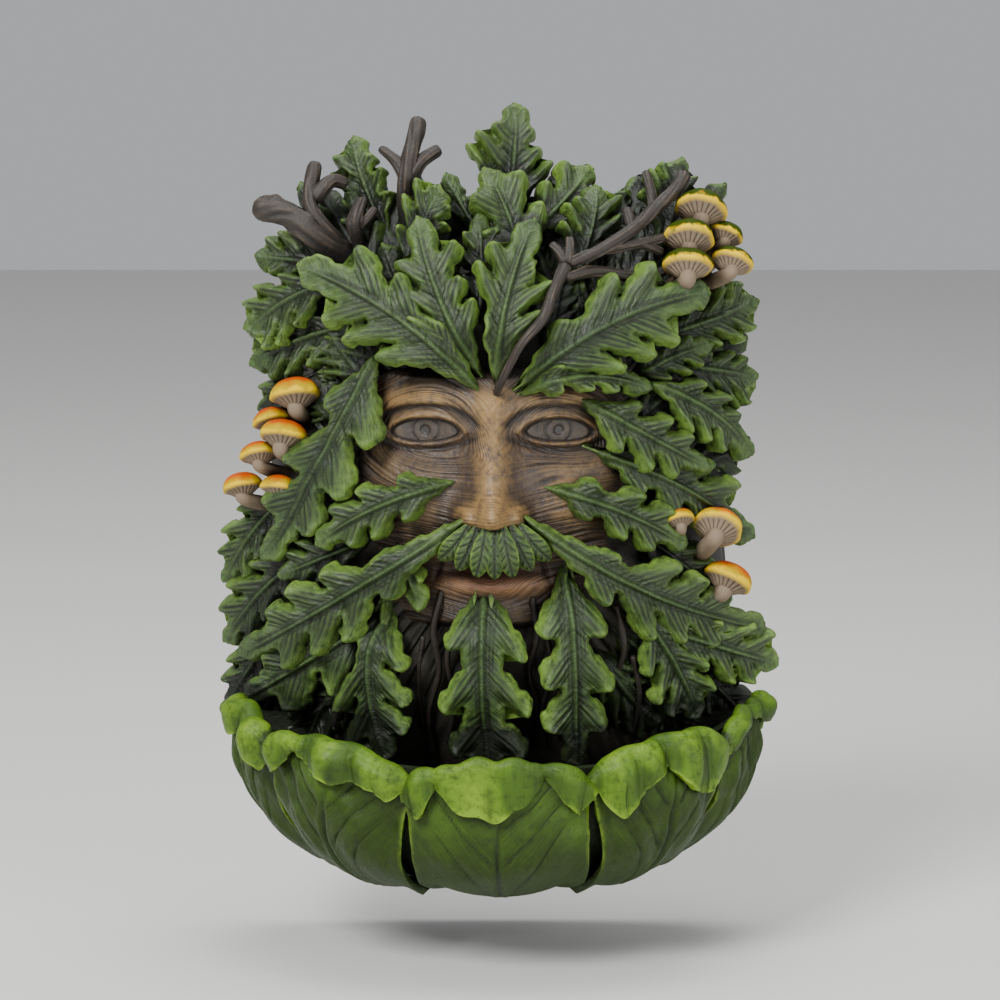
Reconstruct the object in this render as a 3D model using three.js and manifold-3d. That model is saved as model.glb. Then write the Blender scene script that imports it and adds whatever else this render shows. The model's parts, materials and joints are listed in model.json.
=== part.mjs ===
// Green man mask: a foliate head cast in one piece, with oak leaves for hair, brows, moustache and beard,
// branches, small mushrooms, and a half-round basin of leaf petals below the beard.
// Millimetres, +Z up, +X to the right of someone looking at the mask. The flat back lies on the wall plane
// y = 0, and the mask comes forward towards -Y. The origin is on the back, at mid height.

import * as THREE from 'three';
import { mergeVertices } from 'three/addons/utils/BufferGeometryUtils.js';
import Module from 'manifold-3d';

const wasm = await Module();
wasm.setup();

// Driving dimensions of the whole mask
const MASK_HEIGHT = 304;
const MASK_WIDTH = 218;
const MASK_DEPTH = 116;

// Size at which the lists and profiles below are drawn. The carving scales from it to the sizes above.
const DRAWN_HEIGHT = 304;
const DRAWN_WIDTH = 218;
const DRAWN_DEPTH = 116;
const SIGHT_DISTANCE = 1600;
const SIGHT_DEPTH = 60;

// Basin, real sizes
const BASIN_WALL = 6;
const BASIN_FLOOR = 8;

// Keyhole recess moulded in the back, real sizes
const KEYHOLE_HEAD_BORE = 10;
const KEYHOLE_SLOT_WIDTH = 5;
const KEYHOLE_SLOT_LENGTH = 12;
const KEYHOLE_LIP = 1.8;
const KEYHOLE_POCKET = 2.2;
const KEYHOLE_HEIGHT = 62;

// Leaf carving, at the drawn size
const VEIN_LEAN = THREE.MathUtils.degToRad(48);
const LEAF_ARCH = 0.06;
const LEAF_DROOP = 0.16;
const MIDRIB_DIP = 1.6;
const STALK_HALF_WIDTH = 2.2;
const WEB_SHARE = 0.42;
const TIP_RADIUS = 6;
const VEIN_SWEEP = 0.18;
const FIRST_LOBE = 0.24;
const LAST_LOBE = 0.6;
const LOBE_SHOULDER = 0.6;

// Head core behind the leaves, at the drawn size, and how near its edge a leaf and a mushroom may be rooted,
// as a share of the way out from its middle
const CORE = { x: 0, z: -5, halfWidth: 86, halfHeight: 116, squareness: 4, rim: 14, rise: 40 };
const LEAF_ROOT = 0.98;
const MUSHROOM_ROOT = 0.93;

// Face, laid out by the five-eye and three-part rules
const EYE_WIDTH = 25;
const FACE_THIRD = 48;
const FACE_X = -3;
const BROW_Z = 38;
const EYE_Z = BROW_Z - FACE_THIRD / 4;
const NOSE_Z = BROW_Z - FACE_THIRD;
const MOUTH_Z = NOSE_Z - FACE_THIRD / 3;
const CHIN_Z = NOSE_Z - FACE_THIRD;

// The rounding of the face, the ridge of the nose, and the forms on each side of the middle: how far each
// rises, how far aside it lies, its half width, its height and how far it spreads up and down
const FACE_ROUND = { middle: 68, sideFall: 24, halfWidth: 56, endFall: 6, halfHeight: 60 };
const NOSE_RIDGE = { rise: 5, fall: 14, width: 5.5, flare: 3, edge: 3, top: 14 };
const FACE_FORMS = {
  brow: { rise: 5, aside: EYE_WIDTH, width: 17, z: BROW_Z, spread: 6 },
  socket: { rise: -9, aside: EYE_WIDTH, width: 14, z: EYE_Z, spread: 9 },
  eye: { rise: 6.5, aside: EYE_WIDTH, width: 9, z: EYE_Z, spread: 5.5 },
  noseTip: { rise: 4, aside: 0, width: 7, z: NOSE_Z + 8, spread: 7, above: true },
  nostril: { rise: 8, aside: 10, width: 4.5, z: NOSE_Z + 4, spread: 5, above: true },
  cheek: { rise: 6, aside: 1.3 * EYE_WIDTH, width: 15, z: NOSE_Z + 8, spread: 13 },
  upperLip: { rise: 5, aside: 0, width: 20, z: MOUTH_Z + 6, spread: 6 },
  mouth: { rise: -7, aside: 0, width: 20, z: MOUTH_Z, spread: 3 },
  lowerLip: { rise: 6, aside: 0, width: 16, z: MOUTH_Z - 6, spread: 4 },
  chin: { rise: 6, aside: 0, width: 14, z: CHIN_Z + 10, spread: 9 },
};

// Basin form, at the drawn size: half an ellipsoid that stands out from the wall
const BASIN = {
  x: -1.5, halfWidth: 98, reach: 84, back: 24, rimZ: -91, rimRise: 13, bottomZ: -153, fullness: 2.8,
};

// Leaves are listed as stem and tip [x, z, distance from the wall], the sideways bow of the midrib as a
// share of its length, and the reach of each pair of lobes [left, right], looking from stem to tip
const CROWN_LEAVES = {
  crest: { stem: [2, 100, 34], tip: [7, 145.4, 26], bow: 0.02, lobes: [[28, 17], [24, 8]],
    first: 0.2, last: 0.5, tipRadius: 7 },
  crestFront: { stem: [9, 80, 56], tip: [-6, 123, 46], bow: 0.06, lobes: [[14, 17], [13, 14]] },
  crestLeft: { stem: [-6, 94, 40], tip: [-21, 119, 34], bow: 0, lobes: [[8, 6]], tipRadius: 5 },
  backLeft: { stem: [-40, 92, 36], tip: [-55, 132, 27], bow: -0.04, lobes: [[14, 11], [13, 8]] },
  backLeftOuter: { stem: [-63, 90, 34], tip: [-75, 114, 22], bow: 0, lobes: [[6, 6]], tipRadius: 5 },
  backLeftInner: { stem: [-46, 88, 38], tip: [-57, 113, 30], bow: 0, lobes: [[8, 6]], tipRadius: 5 },
  midLeft: { stem: [-35, 80, 54], tip: [-22, 117, 50], bow: -0.05, lobes: [[12, 10], [14, 10]] },
  midLeftLow: { stem: [-33, 70, 54], tip: [-44, 95, 47], bow: 0, lobes: [[7, 6]], tipRadius: 5.4 },
  rightInner: { stem: [10, 98, 46], tip: [34, 122, 32], bow: 0.04, lobes: [[13, 8], [12, 8]] },
  rightMiddle: { stem: [27, 80, 54], tip: [36, 116, 40], bow: 0.04, lobes: [[15, 11], [10, 14]] },
  rightBack: { stem: [60, 89, 40], tip: [68, 124, 26], bow: 0, lobes: [[16, 13], [11, 10]] },
  rightOuter: { stem: [66, 88, 34], tip: [84, 114, 22], bow: 0, lobes: [[7, 10]], tipRadius: 5 },
};
const BROW_LEAVES = {
  browLeft: { stem: [-6, 42, 84], tip: [-76, 88.5, 60], bow: 0.07, lobes: [[21, 10], [23, 17], [20, 19]],
    tipRadius: 8 },
  crownLeft: { stem: [-6, 48, 82], tip: [-31, 107, 63], bow: -0.05, lobes: [[18, 14], [19, 13], [15, 16]],
    tipRadius: 6.6 },
  crownCentre: { stem: [-2, 45, 84], tip: [13, 106.5, 64], bow: -0.05, lobes: [[6, 17], [18, 19], [15, 9]],
    tipRadius: 6.6 },
  browRight: { stem: [4, 43, 84], tip: [79, 78.5, 58], bow: -0.08, lobes: [[12, 22], [20, 23], [19, 20]],
    tipRadius: 7.6 },
  browRightLow: { stem: [6, 42, 83], tip: [57, 42, 63], bow: -0.12, lobes: [[7, 5], [8, 6]], tipRadius: 5 },
};
const SIDE_LEAVES = {
  leftTop: { stem: [-58, 84, 46], tip: [-92, 87, 29], bow: 0.04, lobes: [[8, 12], [8, 11]], tipRadius: 6 },
  leftUpper: { stem: [-60, 82, 46], tip: [-96, 60, 29], bow: 0.05, lobes: [[14, 14], [15, 13]] },
  leftMiddle: { stem: [-52, 65, 54], tip: [-94, 46, 32], bow: 0.05, lobes: [[15, 12], [13, 16]] },
  leftTemple: { stem: [-45, 60, 64], tip: [-90, -25, 44], bow: -0.04,
    lobes: [[17, 12], [17, 18], [13, 16]], first: 0.2, last: 0.67 },
  leftCheek: { stem: [-76, 2, 38], tip: [-106, -38, 17], bow: 0.05, lobes: [[9, 14], [11, 11]],
    tipRadius: 5.6 },
  leftJaw: { stem: [-68, -20, 42], tip: [-106, -61, 17], bow: 0.05, lobes: [[11, 15], [11, 14]],
    tipRadius: 5.6 },
  leftLow: { stem: [-78, -46, 36], tip: [-103, -86, 15], bow: 0.02, lobes: [[9, 12], [9, 11]],
    tipRadius: 5.6 },
  rightUpper: { stem: [60, 60, 50], tip: [97, 71, 28], bow: 0, lobes: [[9, 14], [13, 13]], tipRadius: 6 },
  rightFan: { stem: [46, 43, 60], tip: [80, 57, 45], bow: -0.06, lobes: [[7, 10], [7, 9]], tipRadius: 5 },
  rightBehind: { stem: [64, 50, 48], tip: [97, 42, 28], bow: 0, lobes: [[9, 14], [9, 15]], tipRadius: 5.6 },
  rightMiddle: { stem: [54, 45, 61], tip: [95, 13, 38], bow: -0.08, lobes: [[11, 14], [12, 13], [9, 12]],
    tipRadius: 6 },
  rightTemple: { stem: [28, 42, 68], tip: [79, 11, 54], bow: 0.02, lobes: [[9, 12], [9, 10]],
    tipRadius: 5 },
  rightCheek: { stem: [31, 21, 67], tip: [96, -18, 40], bow: -0.05, lobes: [[8, 7], [11, 9], [11, 9]],
    tipRadius: 6 },
  rightCheekLow: { stem: [13, 7, 73], tip: [75, -19, 57], bow: -0.05, lobes: [[8, 8], [9, 9]],
    tipRadius: 5 },
  leftCheekInner: { stem: [-14, 9, 74], tip: [-70, -17.5, 58], bow: 0.06, lobes: [[12, 9], [12, 11]],
    tipRadius: 5.6 },
  leftCheekBehind: { stem: [-50, -16, 56], tip: [-82, -31.5, 43], bow: 0, lobes: [[9, 8]], tipRadius: 5 },
};
const MOUSTACHE_LEAVES = {
  right: { stem: [8, -3, 85], tip: [101, -52.5, 36], bow: 0.05, first: 0.3, last: 0.73,
    lobes: [[8, 13], [18, 20], [16, 16], [12, 14]] },
  left: { stem: [-11, -3, 85], tip: [-99, -62.5, 36], bow: -0.01, first: 0.3, last: 0.73,
    lobes: [[12, 7], [20, 15], [18, 16], [17, 12]] },
};
const BEARD_LEAVES = {
  farLeft: { stem: [-44, -44, 60], tip: [-97, -80, 32], bow: 0, lobes: [[20, 13], [16, 13]] },
  leftInner: { stem: [-40, -16, 68], tip: [-31, -42, 66], bow: -0.06, lobes: [[6, 5]], tipRadius: 5.4 },
  left: { stem: [-44, -36, 66], tip: [-43, -101, 55], bow: 0.09, first: 0.17, last: 0.67,
    lobes: [[17, 5], [18, 20], [14, 17]] },
  centre: { stem: [-6, -26, 78], tip: [-4, -108, 62], bow: 0.02, first: 0.16, last: 0.7,
    lobes: [[20, 16], [22, 20], [18, 16]], tipRadius: 8, stalk: 7 },
  right: { stem: [26, -20, 72], tip: [29, -103, 60], bow: 0, first: 0.2, last: 0.68,
    lobes: [[15, 14], [18, 14], [14, 13]] },
  farRight: { stem: [50, -40, 62], tip: [76, -86, 46], bow: -0.04, lobes: [[12, 15], [14, 15]] },
  lastRight: { stem: [60, -49, 58], tip: [106, -67, 30], bow: 0, lobes: [[12, 14], [15, 14]] },
};

// Small leaves over the upper lip, fanned out from below the nose
const LIP_LEAVES = {
  count: 5, centreX: -2, topZ: -9, topHalf: 9, tipZ: -28, tipHalf: 19, depth: 86, reach: 3.6,
  sideDrop: 4, keel: 16,
};

// Branches: points [x, z, distance from the wall], and the radius at the start and at the end
const BRANCHES = [
  { path: [[-52, 84, 32], [-68, 97, 45], [-79, 105, 43], [-92, 107.5, 39]], radii: [4, 5] },
  { path: [[-54, 85, 32], [-66, 101, 44], [-71, 110, 42], [-68.5, 124, 35]], radii: [3.4, 2.4] },
  { path: [[-70, 110, 42], [-63, 117, 39], [-57, 115.5, 36]], radii: [2.8, 2] },
  { path: [[-51, 84, 32], [-54, 101, 43], [-51, 111, 39]], radii: [3.2, 2.2] },
  { path: [[-33, 94, 30], [-35, 117, 38], [-30, 140, 30]], radii: [3.8, 3.6] },
  { path: [[-35, 117, 38], [-39, 124, 35], [-45, 128.5, 31]], radii: [3, 2] },
  { path: [[-35, 117, 38], [-29, 124, 35], [-22, 128, 31]], radii: [3.2, 2.2] },
  { path: [[1, 50, 88], [8, 63, 85], [17, 70, 80], [20, 80, 76], [25, 91, 71]], radii: [2.8, 3] },
  { path: [[25, 90, 71], [26, 96, 69], [26, 100, 66]], radii: [2.4, 1.6] },
  { path: [[25, 91, 71], [37, 95, 66], [50, 102, 58], [58, 109, 52], [66, 115, 46], [69, 121, 42]],
    radii: [3, 3.6] },
  { path: [[57, 108, 52], [56, 115, 49], [54, 122, 45]], radii: [2.4, 1.7] },
  { path: [[38, 95, 65], [52, 96.5, 59], [62, 98, 53]], radii: [2.6, 2.4] },
  { path: [[24, 86, 73], [36, 87, 66], [52, 84, 59], [62, 86, 54]], radii: [2.6, 2.6] },
];

// Mushrooms: the middle of the cap and the foot of the stem [x, z, distance from the wall], the cap radius,
// and how far the cap leans back and to the right in degrees
const MUSHROOMS = [
  { cap: [-76.5, 37, 45], foot: [-70, 27, 22], radius: 9.8, back: 22, right: -4 },
  { cap: [-85.5, 26.5, 39], foot: [-72, 18, 20], radius: 7.6, back: 24, right: -10 },
  { cap: [-81.5, 22, 48], foot: [-72, 12, 20], radius: 9.2, back: 22, right: 6 },
  { cap: [-90.5, 14, 41], foot: [-74, 4, 18], radius: 7.4, back: 26, right: -8 },
  { cap: [-97, 1.5, 37], foot: [-74, -8, 16], radius: 7.8, back: 20, right: -12 },
  { cap: [-83, 2, 46], foot: [-72, -8, 22], radius: 7.4, back: 20, right: 8 },
  { cap: [75, 107, 46], foot: [58, 90, 18], radius: 10, back: 48, right: 10 },
  { cap: [70.5, 97, 53], foot: [62, 84, 20], radius: 9.8, back: 48, right: 4 },
  { cap: [70, 87.5, 59], foot: [62, 76, 22], radius: 9.4, back: 38, right: 2 },
  { cap: [84, 97, 42], foot: [61, 81, 18], radius: 7, back: 40, right: 20 },
  { cap: [86.5, 87.5, 48], foot: [68, 74, 18], radius: 8, back: 46, right: 14 },
  { cap: [67.5, -8.5, 56], foot: [64, -18, 32], radius: 6.2, back: 28, right: -12 },
  { cap: [82, -12, 53], foot: [70, -28, 24], radius: 9.6, back: 48, right: 16 },
  { cap: [86, -33, 46], foot: [72, -40, 20], radius: 9.6, back: 26, right: 26 },
];
const CAP_HEIGHT_SHARE = 0.82;
const CAP_HOLLOW_SHARE = 0.14;
const STEM_SHARE = 0.26;

// Basin petals, from the viewer's left to right: where each ends round the basin in degrees, how far it
// stands proud of the basin, and how many waves its rolled lip has
const PETALS = [
  { until: -54, lift: 1, waves: 1 },
  { until: -20, lift: 3.2, waves: 1.5 },
  { until: 21, lift: 5.5, waves: 3 },
  { until: 56, lift: 3.2, waves: 1.5 },
  { until: 90, lift: 1, waves: 1 },
];
const PETAL_SWELL = 3;
const LIP_ROLL = 3.5;
const LIP_HANG = 0.17;

const LEAF_GREEN = new THREE.MeshStandardMaterial({ color: 0x3f6b2e, roughness: 0.5, metalness: 0 });

const across = MASK_WIDTH / DRAWN_WIDTH;
const deep = MASK_DEPTH / DRAWN_DEPTH;
const tall = MASK_HEIGHT / DRAWN_HEIGHT;
const drawnToReal = new THREE.Matrix4().makeScale(across, deep, tall);

// A place given as x, height and distance from the wall. The lists are drawn as seen from in front, so what
// lies nearer the wall than SIGHT_DEPTH is spread a little, and what stands nearer the eye is drawn in.
function spot(x, z, out) {
  const spread = 1 + (SIGHT_DEPTH - out) / SIGHT_DISTANCE;
  return new THREE.Vector3(x * spread, -out, z * spread);
}

// A closed geometry as a solid with its faces pointing out
function solidOf(geometry, matrix = drawnToReal) {
  const bare = geometry.clone();
  bare.deleteAttribute('normal');
  bare.deleteAttribute('uv');
  bare.applyMatrix4(matrix);
  const merged = mergeVertices(bare, 1e-4);
  const places = merged.attributes.position.array;
  const corners = Array.from(merged.index.array);
  const kept = [];
  for (let i = 0; i < corners.length; i += 3) {
    const [a, b, c] = corners.slice(i, i + 3);
    if (a !== b && b !== c && c !== a) kept.push(a, b, c);
  }
  if (signedVolume(places, kept) < 0) kept.reverse();
  return new wasm.Manifold(new wasm.Mesh({
    numProp: 3,
    vertProperties: new Float32Array(places),
    triVerts: new Uint32Array(kept),
  }));
}

function signedVolume(places, corners) {
  const a = new THREE.Vector3();
  const b = new THREE.Vector3();
  const c = new THREE.Vector3();
  let sum = 0;
  for (let i = 0; i < corners.length; i += 3) {
    a.fromArray(places, corners[i] * 3);
    b.fromArray(places, corners[i + 1] * 3);
    c.fromArray(places, corners[i + 2] * 3);
    sum += a.dot(b.cross(c));
  }
  return sum / 6;
}

// A skin over rings of the same number of points, closed at both ends
function skin(rings) {
  const sides = rings[0].length;
  const points = rings.flat();
  const index = [];
  for (let r = 0; r + 1 < rings.length; r += 1) {
    for (let s = 0; s < sides; s += 1) {
      const a = r * sides + s;
      const b = r * sides + (s + 1) % sides;
      index.push(a, b, b + sides, a, b + sides, a + sides);
    }
  }
  for (const [first, turn] of [[0, 1], [(rings.length - 1) * sides, -1]]) {
    const middle = new THREE.Vector3();
    for (let s = 0; s < sides; s += 1) middle.addScaledVector(points[first + s], 1 / sides);
    const hub = points.push(middle) - 1;
    for (let s = 0; s < sides; s += 1) {
      const a = first + s;
      const b = first + (s + 1) % sides;
      if (turn > 0) index.push(hub, b, a);
      else index.push(hub, a, b);
    }
  }
  const geometry = new THREE.BufferGeometry().setFromPoints(points);
  geometry.setIndex(index);
  return geometry;
}

// How far out from the middle of the head core a place lies: 0 in the middle and 1 at its edge
function coreRadius(x, z) {
  const { squareness: k } = CORE;
  const share = (Math.abs(x - CORE.x) / CORE.halfWidth) ** k
    + (Math.abs(z - CORE.z) / CORE.halfHeight) ** k;
  return share ** (1 / k);
}

// How far the head core stands from the wall under a place
function coreDepth(x, z) {
  return CORE.rim + CORE.rise * (1 - Math.min(1, coreRadius(x, z)) ** 3) ** 0.6;
}

// The spot where a leaf or mushroom is rooted, which stays inside the edge of the head core
function root([x, z, out], share) {
  const inward = Math.min(1, share / coreRadius(x, z));
  return spot(CORE.x + (x - CORE.x) * inward, CORE.z + (z - CORE.z) * inward, out);
}

function headCore() {
  const turns = 20;
  const outline = (radius, out) => Array.from({ length: turns }, (_, i) => {
    const angle = (i / turns) * 2 * Math.PI;
    const c = Math.cos(angle);
    const s = Math.sin(angle);
    const x = CORE.x + CORE.halfWidth * radius * Math.sign(c) * Math.abs(c) ** (2 / CORE.squareness);
    const z = CORE.z + CORE.halfHeight * radius * Math.sign(s) * Math.abs(s) ** (2 / CORE.squareness);
    return spot(x, z, out ?? coreDepth(x, z));
  });
  return skin([outline(1, 0), outline(1), outline(0.86), outline(0.5)]);
}

// The outline of a leaf on one side: how far it reaches along the vein that leaves the midrib at share t
function leafReach(leaf, side, t) {
  const { length, lobes, lobeAt, lobeHalf, tipRadius } = leaf;
  const lean = Math.sin(VEIN_LEAN);
  const fromTip = t * length - (length - tipRadius);
  const round = Math.max(0, tipRadius ** 2 - (fromTip * Math.cos(VEIN_LEAN)) ** 2);
  const tipReach = fromTip > -tipRadius ? Math.sqrt(round) - fromTip * lean : tipRadius * 2 * lean;
  const full = lobes.reduce((sum, pair) => sum + pair[side], 0) / lobes.length;
  const opening = THREE.MathUtils.smoothstep(t, 0, lobeAt[0]);
  const web = THREE.MathUtils.lerp(leaf.stalk, Math.max(leaf.stalk, WEB_SHARE * full), opening);
  let reach = Math.min(web, tipReach);
  lobes.forEach((pair, i) => {
    const off = (t - lobeAt[i]) / lobeHalf;
    const slant = off * lobeHalf * length * lean;
    if (Math.abs(off) < 1) {
      reach = Math.max(reach, web + (pair[side] - web - slant) * (1 - Math.abs(off) ** 3) ** 0.6);
    }
  });
  return t > lobeAt[lobes.length - 1] + lobeHalf ? Math.min(tipReach, tipRadius * 1.25) : reach;
}

// The shares of the midrib where the outline turns: between the lobes, on their shoulders and round the tip
function leafStations(leaf) {
  const stations = [0];
  leaf.lobeAt.forEach((at) => {
    const shoulder = LOBE_SHOULDER * leaf.lobeHalf;
    stations.push(at - leaf.lobeHalf, at - shoulder, at + shoulder);
  });
  const last = stations.at(-1) + (1 - LOBE_SHOULDER) * leaf.lobeHalf;
  const tipStart = Math.max(last, 1 - leaf.tipRadius / leaf.length);
  if (tipStart - last > 0.08) stations.push(last);
  stations.push(tipStart, 1);
  return stations;
}

function leafFrom({ stem, tip, bow, lobes, first = FIRST_LOBE, last = LAST_LOBE, tipRadius = TIP_RADIUS,
  stalk = STALK_HALF_WIDTH }) {
  const start = root(stem, LEAF_ROOT);
  const end = spot(...tip);
  const length = start.distanceTo(end);
  const along = end.clone().sub(start).normalize();
  const out = outward(start.clone().lerp(end, 0.5), along);
  const right = along.clone().cross(out);
  const bend = start.clone().lerp(end, 0.5)
    .addScaledVector(right, 2 * bow * length)
    .addScaledVector(out, 2 * LEAF_ARCH * length);
  const step = lobes.length > 1 ? (last - first) / (lobes.length - 1) : 0.34;
  const lobeAt = lobes.map((_, i) => (lobes.length > 1 ? first + i * step : 0.4));
  return {
    midrib: new THREE.QuadraticBezierCurve3(start, bend, end),
    length, lobes, lobeAt, tipRadius, stalk,
    lobeHalf: Math.min(step / 2, lobeAt[0] - 0.06),
  };
}

// The direction that a leaf faces: forward, and a little away from the middle of the head
function outward(place, along) {
  const facing = new THREE.Vector3(place.x / 140, -1, place.z / 320);
  return facing.addScaledVector(along, -facing.dot(along)).normalize();
}

// A leaf as a wedge: two blades that meet in a sunk midrib, and a keel that runs back into the head
function leafBlade(details) {
  const leaf = leafFrom(details);
  return skin(leafStations(leaf).map((t) => {
    const place = leaf.midrib.getPoint(t);
    const along = leaf.midrib.getTangent(t);
    const out = outward(place, along);
    const right = along.clone().cross(out);
    const edge = (side, sign) => {
      const reach = leafReach(leaf, side, t);
      return place.clone()
        .addScaledVector(right, sign * reach * Math.cos(VEIN_LEAN))
        .addScaledVector(along, reach * (Math.sin(VEIN_LEAN) + VEIN_SWEEP * (reach / 24) * (1 - t)))
        .addScaledVector(out, -LEAF_DROOP * reach);
    };
    const dip = MIDRIB_DIP * Math.sin(Math.PI * Math.min(1, t + 0.1)) ** 0.5;
    const keel = THREE.MathUtils.lerp(keelDepth(place) * 0.6 + 6, 5, t * t);
    const back = place.clone().add(new THREE.Vector3(0, Math.min(keel, -place.y - 1), 0));
    return [edge(0, -1), place.clone().addScaledVector(out, -dip), edge(1, 1), back];
  }));
}

// How far a keel runs back to end inside the head core
function keelDepth(place) {
  return Math.max(6, -place.y - coreDepth(place.x, place.z) + 6);
}

function lipLeaves() {
  const { count, centreX, topZ, topHalf, tipZ, tipHalf, depth, reach, sideDrop, keel } = LIP_LEAVES;
  const outline = [{ down: 0, width: 0.3 }, { down: 0.55, width: 1 }, { down: 1, width: 0.25 }];
  const edgeDrop = 2;
  return Array.from({ length: count }, (_, i) => {
    const share = (i / (count - 1)) * 2 - 1;
    const drop = sideDrop * share * share;
    return skin(outline.map(({ down, width }) => {
      const x = centreX + share * THREE.MathUtils.lerp(topHalf, tipHalf, down);
      const z = THREE.MathUtils.lerp(topZ, tipZ + drop, down);
      const out = depth - drop * (1 + down);
      return [
        spot(x - reach * width, z, out - edgeDrop),
        spot(x, z, out),
        spot(x + reach * width, z, out - edgeDrop),
        spot(x, z, out - keel),
      ];
    }));
  });
}

function bump(offset, width) {
  return Math.exp(-((offset / width) ** 2));
}

// How far the face stands from the wall: a rounded head with a nose and the forms of the face on it
function faceDepth(x, z) {
  const { middle, sideFall, halfWidth, endFall, halfHeight } = FACE_ROUND;
  const { rise, fall, width, flare, edge, top } = NOSE_RIDGE;
  const aside = Math.abs(x - FACE_X);
  const down = THREE.MathUtils.clamp((BROW_Z - z) / FACE_THIRD, 0, 1);
  const noseEnd = THREE.MathUtils.smoothstep(z, NOSE_Z - edge, NOSE_Z + edge);
  const round = middle - sideFall * (aside / halfWidth) ** 2 - endFall * ((z - EYE_Z) / halfHeight) ** 2;
  const ridge = (rise + fall * down) * bump(aside, width + flare * down);
  const fade = 1 - THREE.MathUtils.smoothstep(z, BROW_Z, BROW_Z + top);
  return Object.values(FACE_FORMS).reduce((out, form) => (
    out + (form.above ? noseEnd : 1) * form.rise * bump(aside - form.aside, form.width)
      * bump(z - form.z, form.spread)
  ), round + noseEnd * fade * ridge);
}

function face() {
  const half = [0, 0.2, 0.42, 0.62, 1, 1.4, 2.1];
  const columns = [...half.slice(1).reverse().map((share) => -share), ...half];
  const rows = [BROW_Z + 14, BROW_Z + 3, BROW_Z - 5, EYE_Z + 3, EYE_Z - 4, NOSE_Z + 24,
    NOSE_Z + 11, NOSE_Z + 4, NOSE_Z - 2, MOUTH_Z + 5, MOUTH_Z, MOUTH_Z - 5, CHIN_Z];
  const backDepth = 24;
  return skin(rows.map((z) => {
    const front = columns.map((share) => {
      const x = FACE_X + share * EYE_WIDTH;
      return spot(x, z, faceDepth(x, z));
    });
    const back = [front.at(-1), front[0]].map((corner) => new THREE.Vector3(corner.x, -backDepth, corner.z));
    return [...front, ...back];
  }));
}

function branch({ path, radii }) {
  return tube(path.map((place) => spot(...place)), radii);
}

// A round bar along a curve through the points, from one radius to the other
function tube(points, radii) {
  const curve = new THREE.CatmullRomCurve3(points);
  const steps = points.length - 1;
  const sides = 4;
  const frames = curve.computeFrenetFrames(steps);
  const rings = Array.from({ length: steps + 1 }, (_, i) => {
    const share = i / steps;
    const middle = curve.getPointAt(share);
    const radius = THREE.MathUtils.lerp(radii[0], radii[1], share);
    return Array.from({ length: sides }, (_, side) => {
      const angle = (side / sides) * 2 * Math.PI;
      return middle.clone()
        .addScaledVector(frames.normals[i], radius * Math.cos(angle))
        .addScaledVector(frames.binormals[i], radius * Math.sin(angle));
    });
  });
  return skin(rings);
}

// A mushroom cap on a stem that drops from its underside and curves back into the head
function mushroom({ cap, foot, radius, back, right }) {
  const height = radius * CAP_HEIGHT_SHARE;
  const hollow = radius * CAP_HOLLOW_SHARE;
  const profile = [[0, hollow], [radius, 0], [radius * 0.72, height * 0.62], [0, height]]
    .map(([r, h]) => new THREE.Vector2(r, h));
  const upright = new THREE.Matrix4().makeRotationX(Math.PI / 2);
  const lean = new THREE.Matrix4().makeRotationFromEuler(new THREE.Euler(
    THREE.MathUtils.degToRad(-back), THREE.MathUtils.degToRad(right), 0));
  const place = new THREE.Matrix4().setPosition(spot(...cap)).multiply(lean);
  const dome = new THREE.LatheGeometry(profile, 6).applyMatrix4(place.clone().multiply(upright));
  const top = new THREE.Vector3(0, 0, height * 0.5).applyMatrix4(place);
  const neck = new THREE.Vector3(0, 0, -radius * 0.55).applyMatrix4(place);
  const foothold = root(foot, MUSHROOM_ROOT);
  return [dome, tube([top, neck, foothold], [radius * STEM_SHARE, radius * STEM_SHARE * 1.3])];
}

// How wide the basin is at a share of the way down, as a share of its rim
function basinGirth(down) {
  return (1 - THREE.MathUtils.clamp(down, 0, 1) ** BASIN.fullness) ** 0.5;
}

// A place on the basin: turn in radians from the front, share of the way down, and distance proud of it
function basinSpot(turn, down, proud, floorZ = BASIN.bottomZ) {
  const rimZ = BASIN.rimZ + BASIN.rimRise * Math.abs(Math.sin(turn)) ** 3;
  const girth = basinGirth(down);
  const x = BASIN.x + (BASIN.halfWidth + proud) * girth * Math.sin(turn);
  const out = BASIN.back + (BASIN.reach + proud) * girth * Math.cos(turn);
  return spot(x, rimZ + (floorZ - rimZ) * down, out);
}

// The rings of a half-round body that runs back to a flat plane
function halfRound(turns, levels, back) {
  return levels.map((level) => {
    const arc = turns.map((turn) => level(turn));
    arc.forEach((place) => { place.y = Math.min(place.y, -back - 1); });
    return [...arc, ...[arc.at(-1), arc[0]].map((end) => new THREE.Vector3(end.x, -back, end.z))];
  });
}

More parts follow.
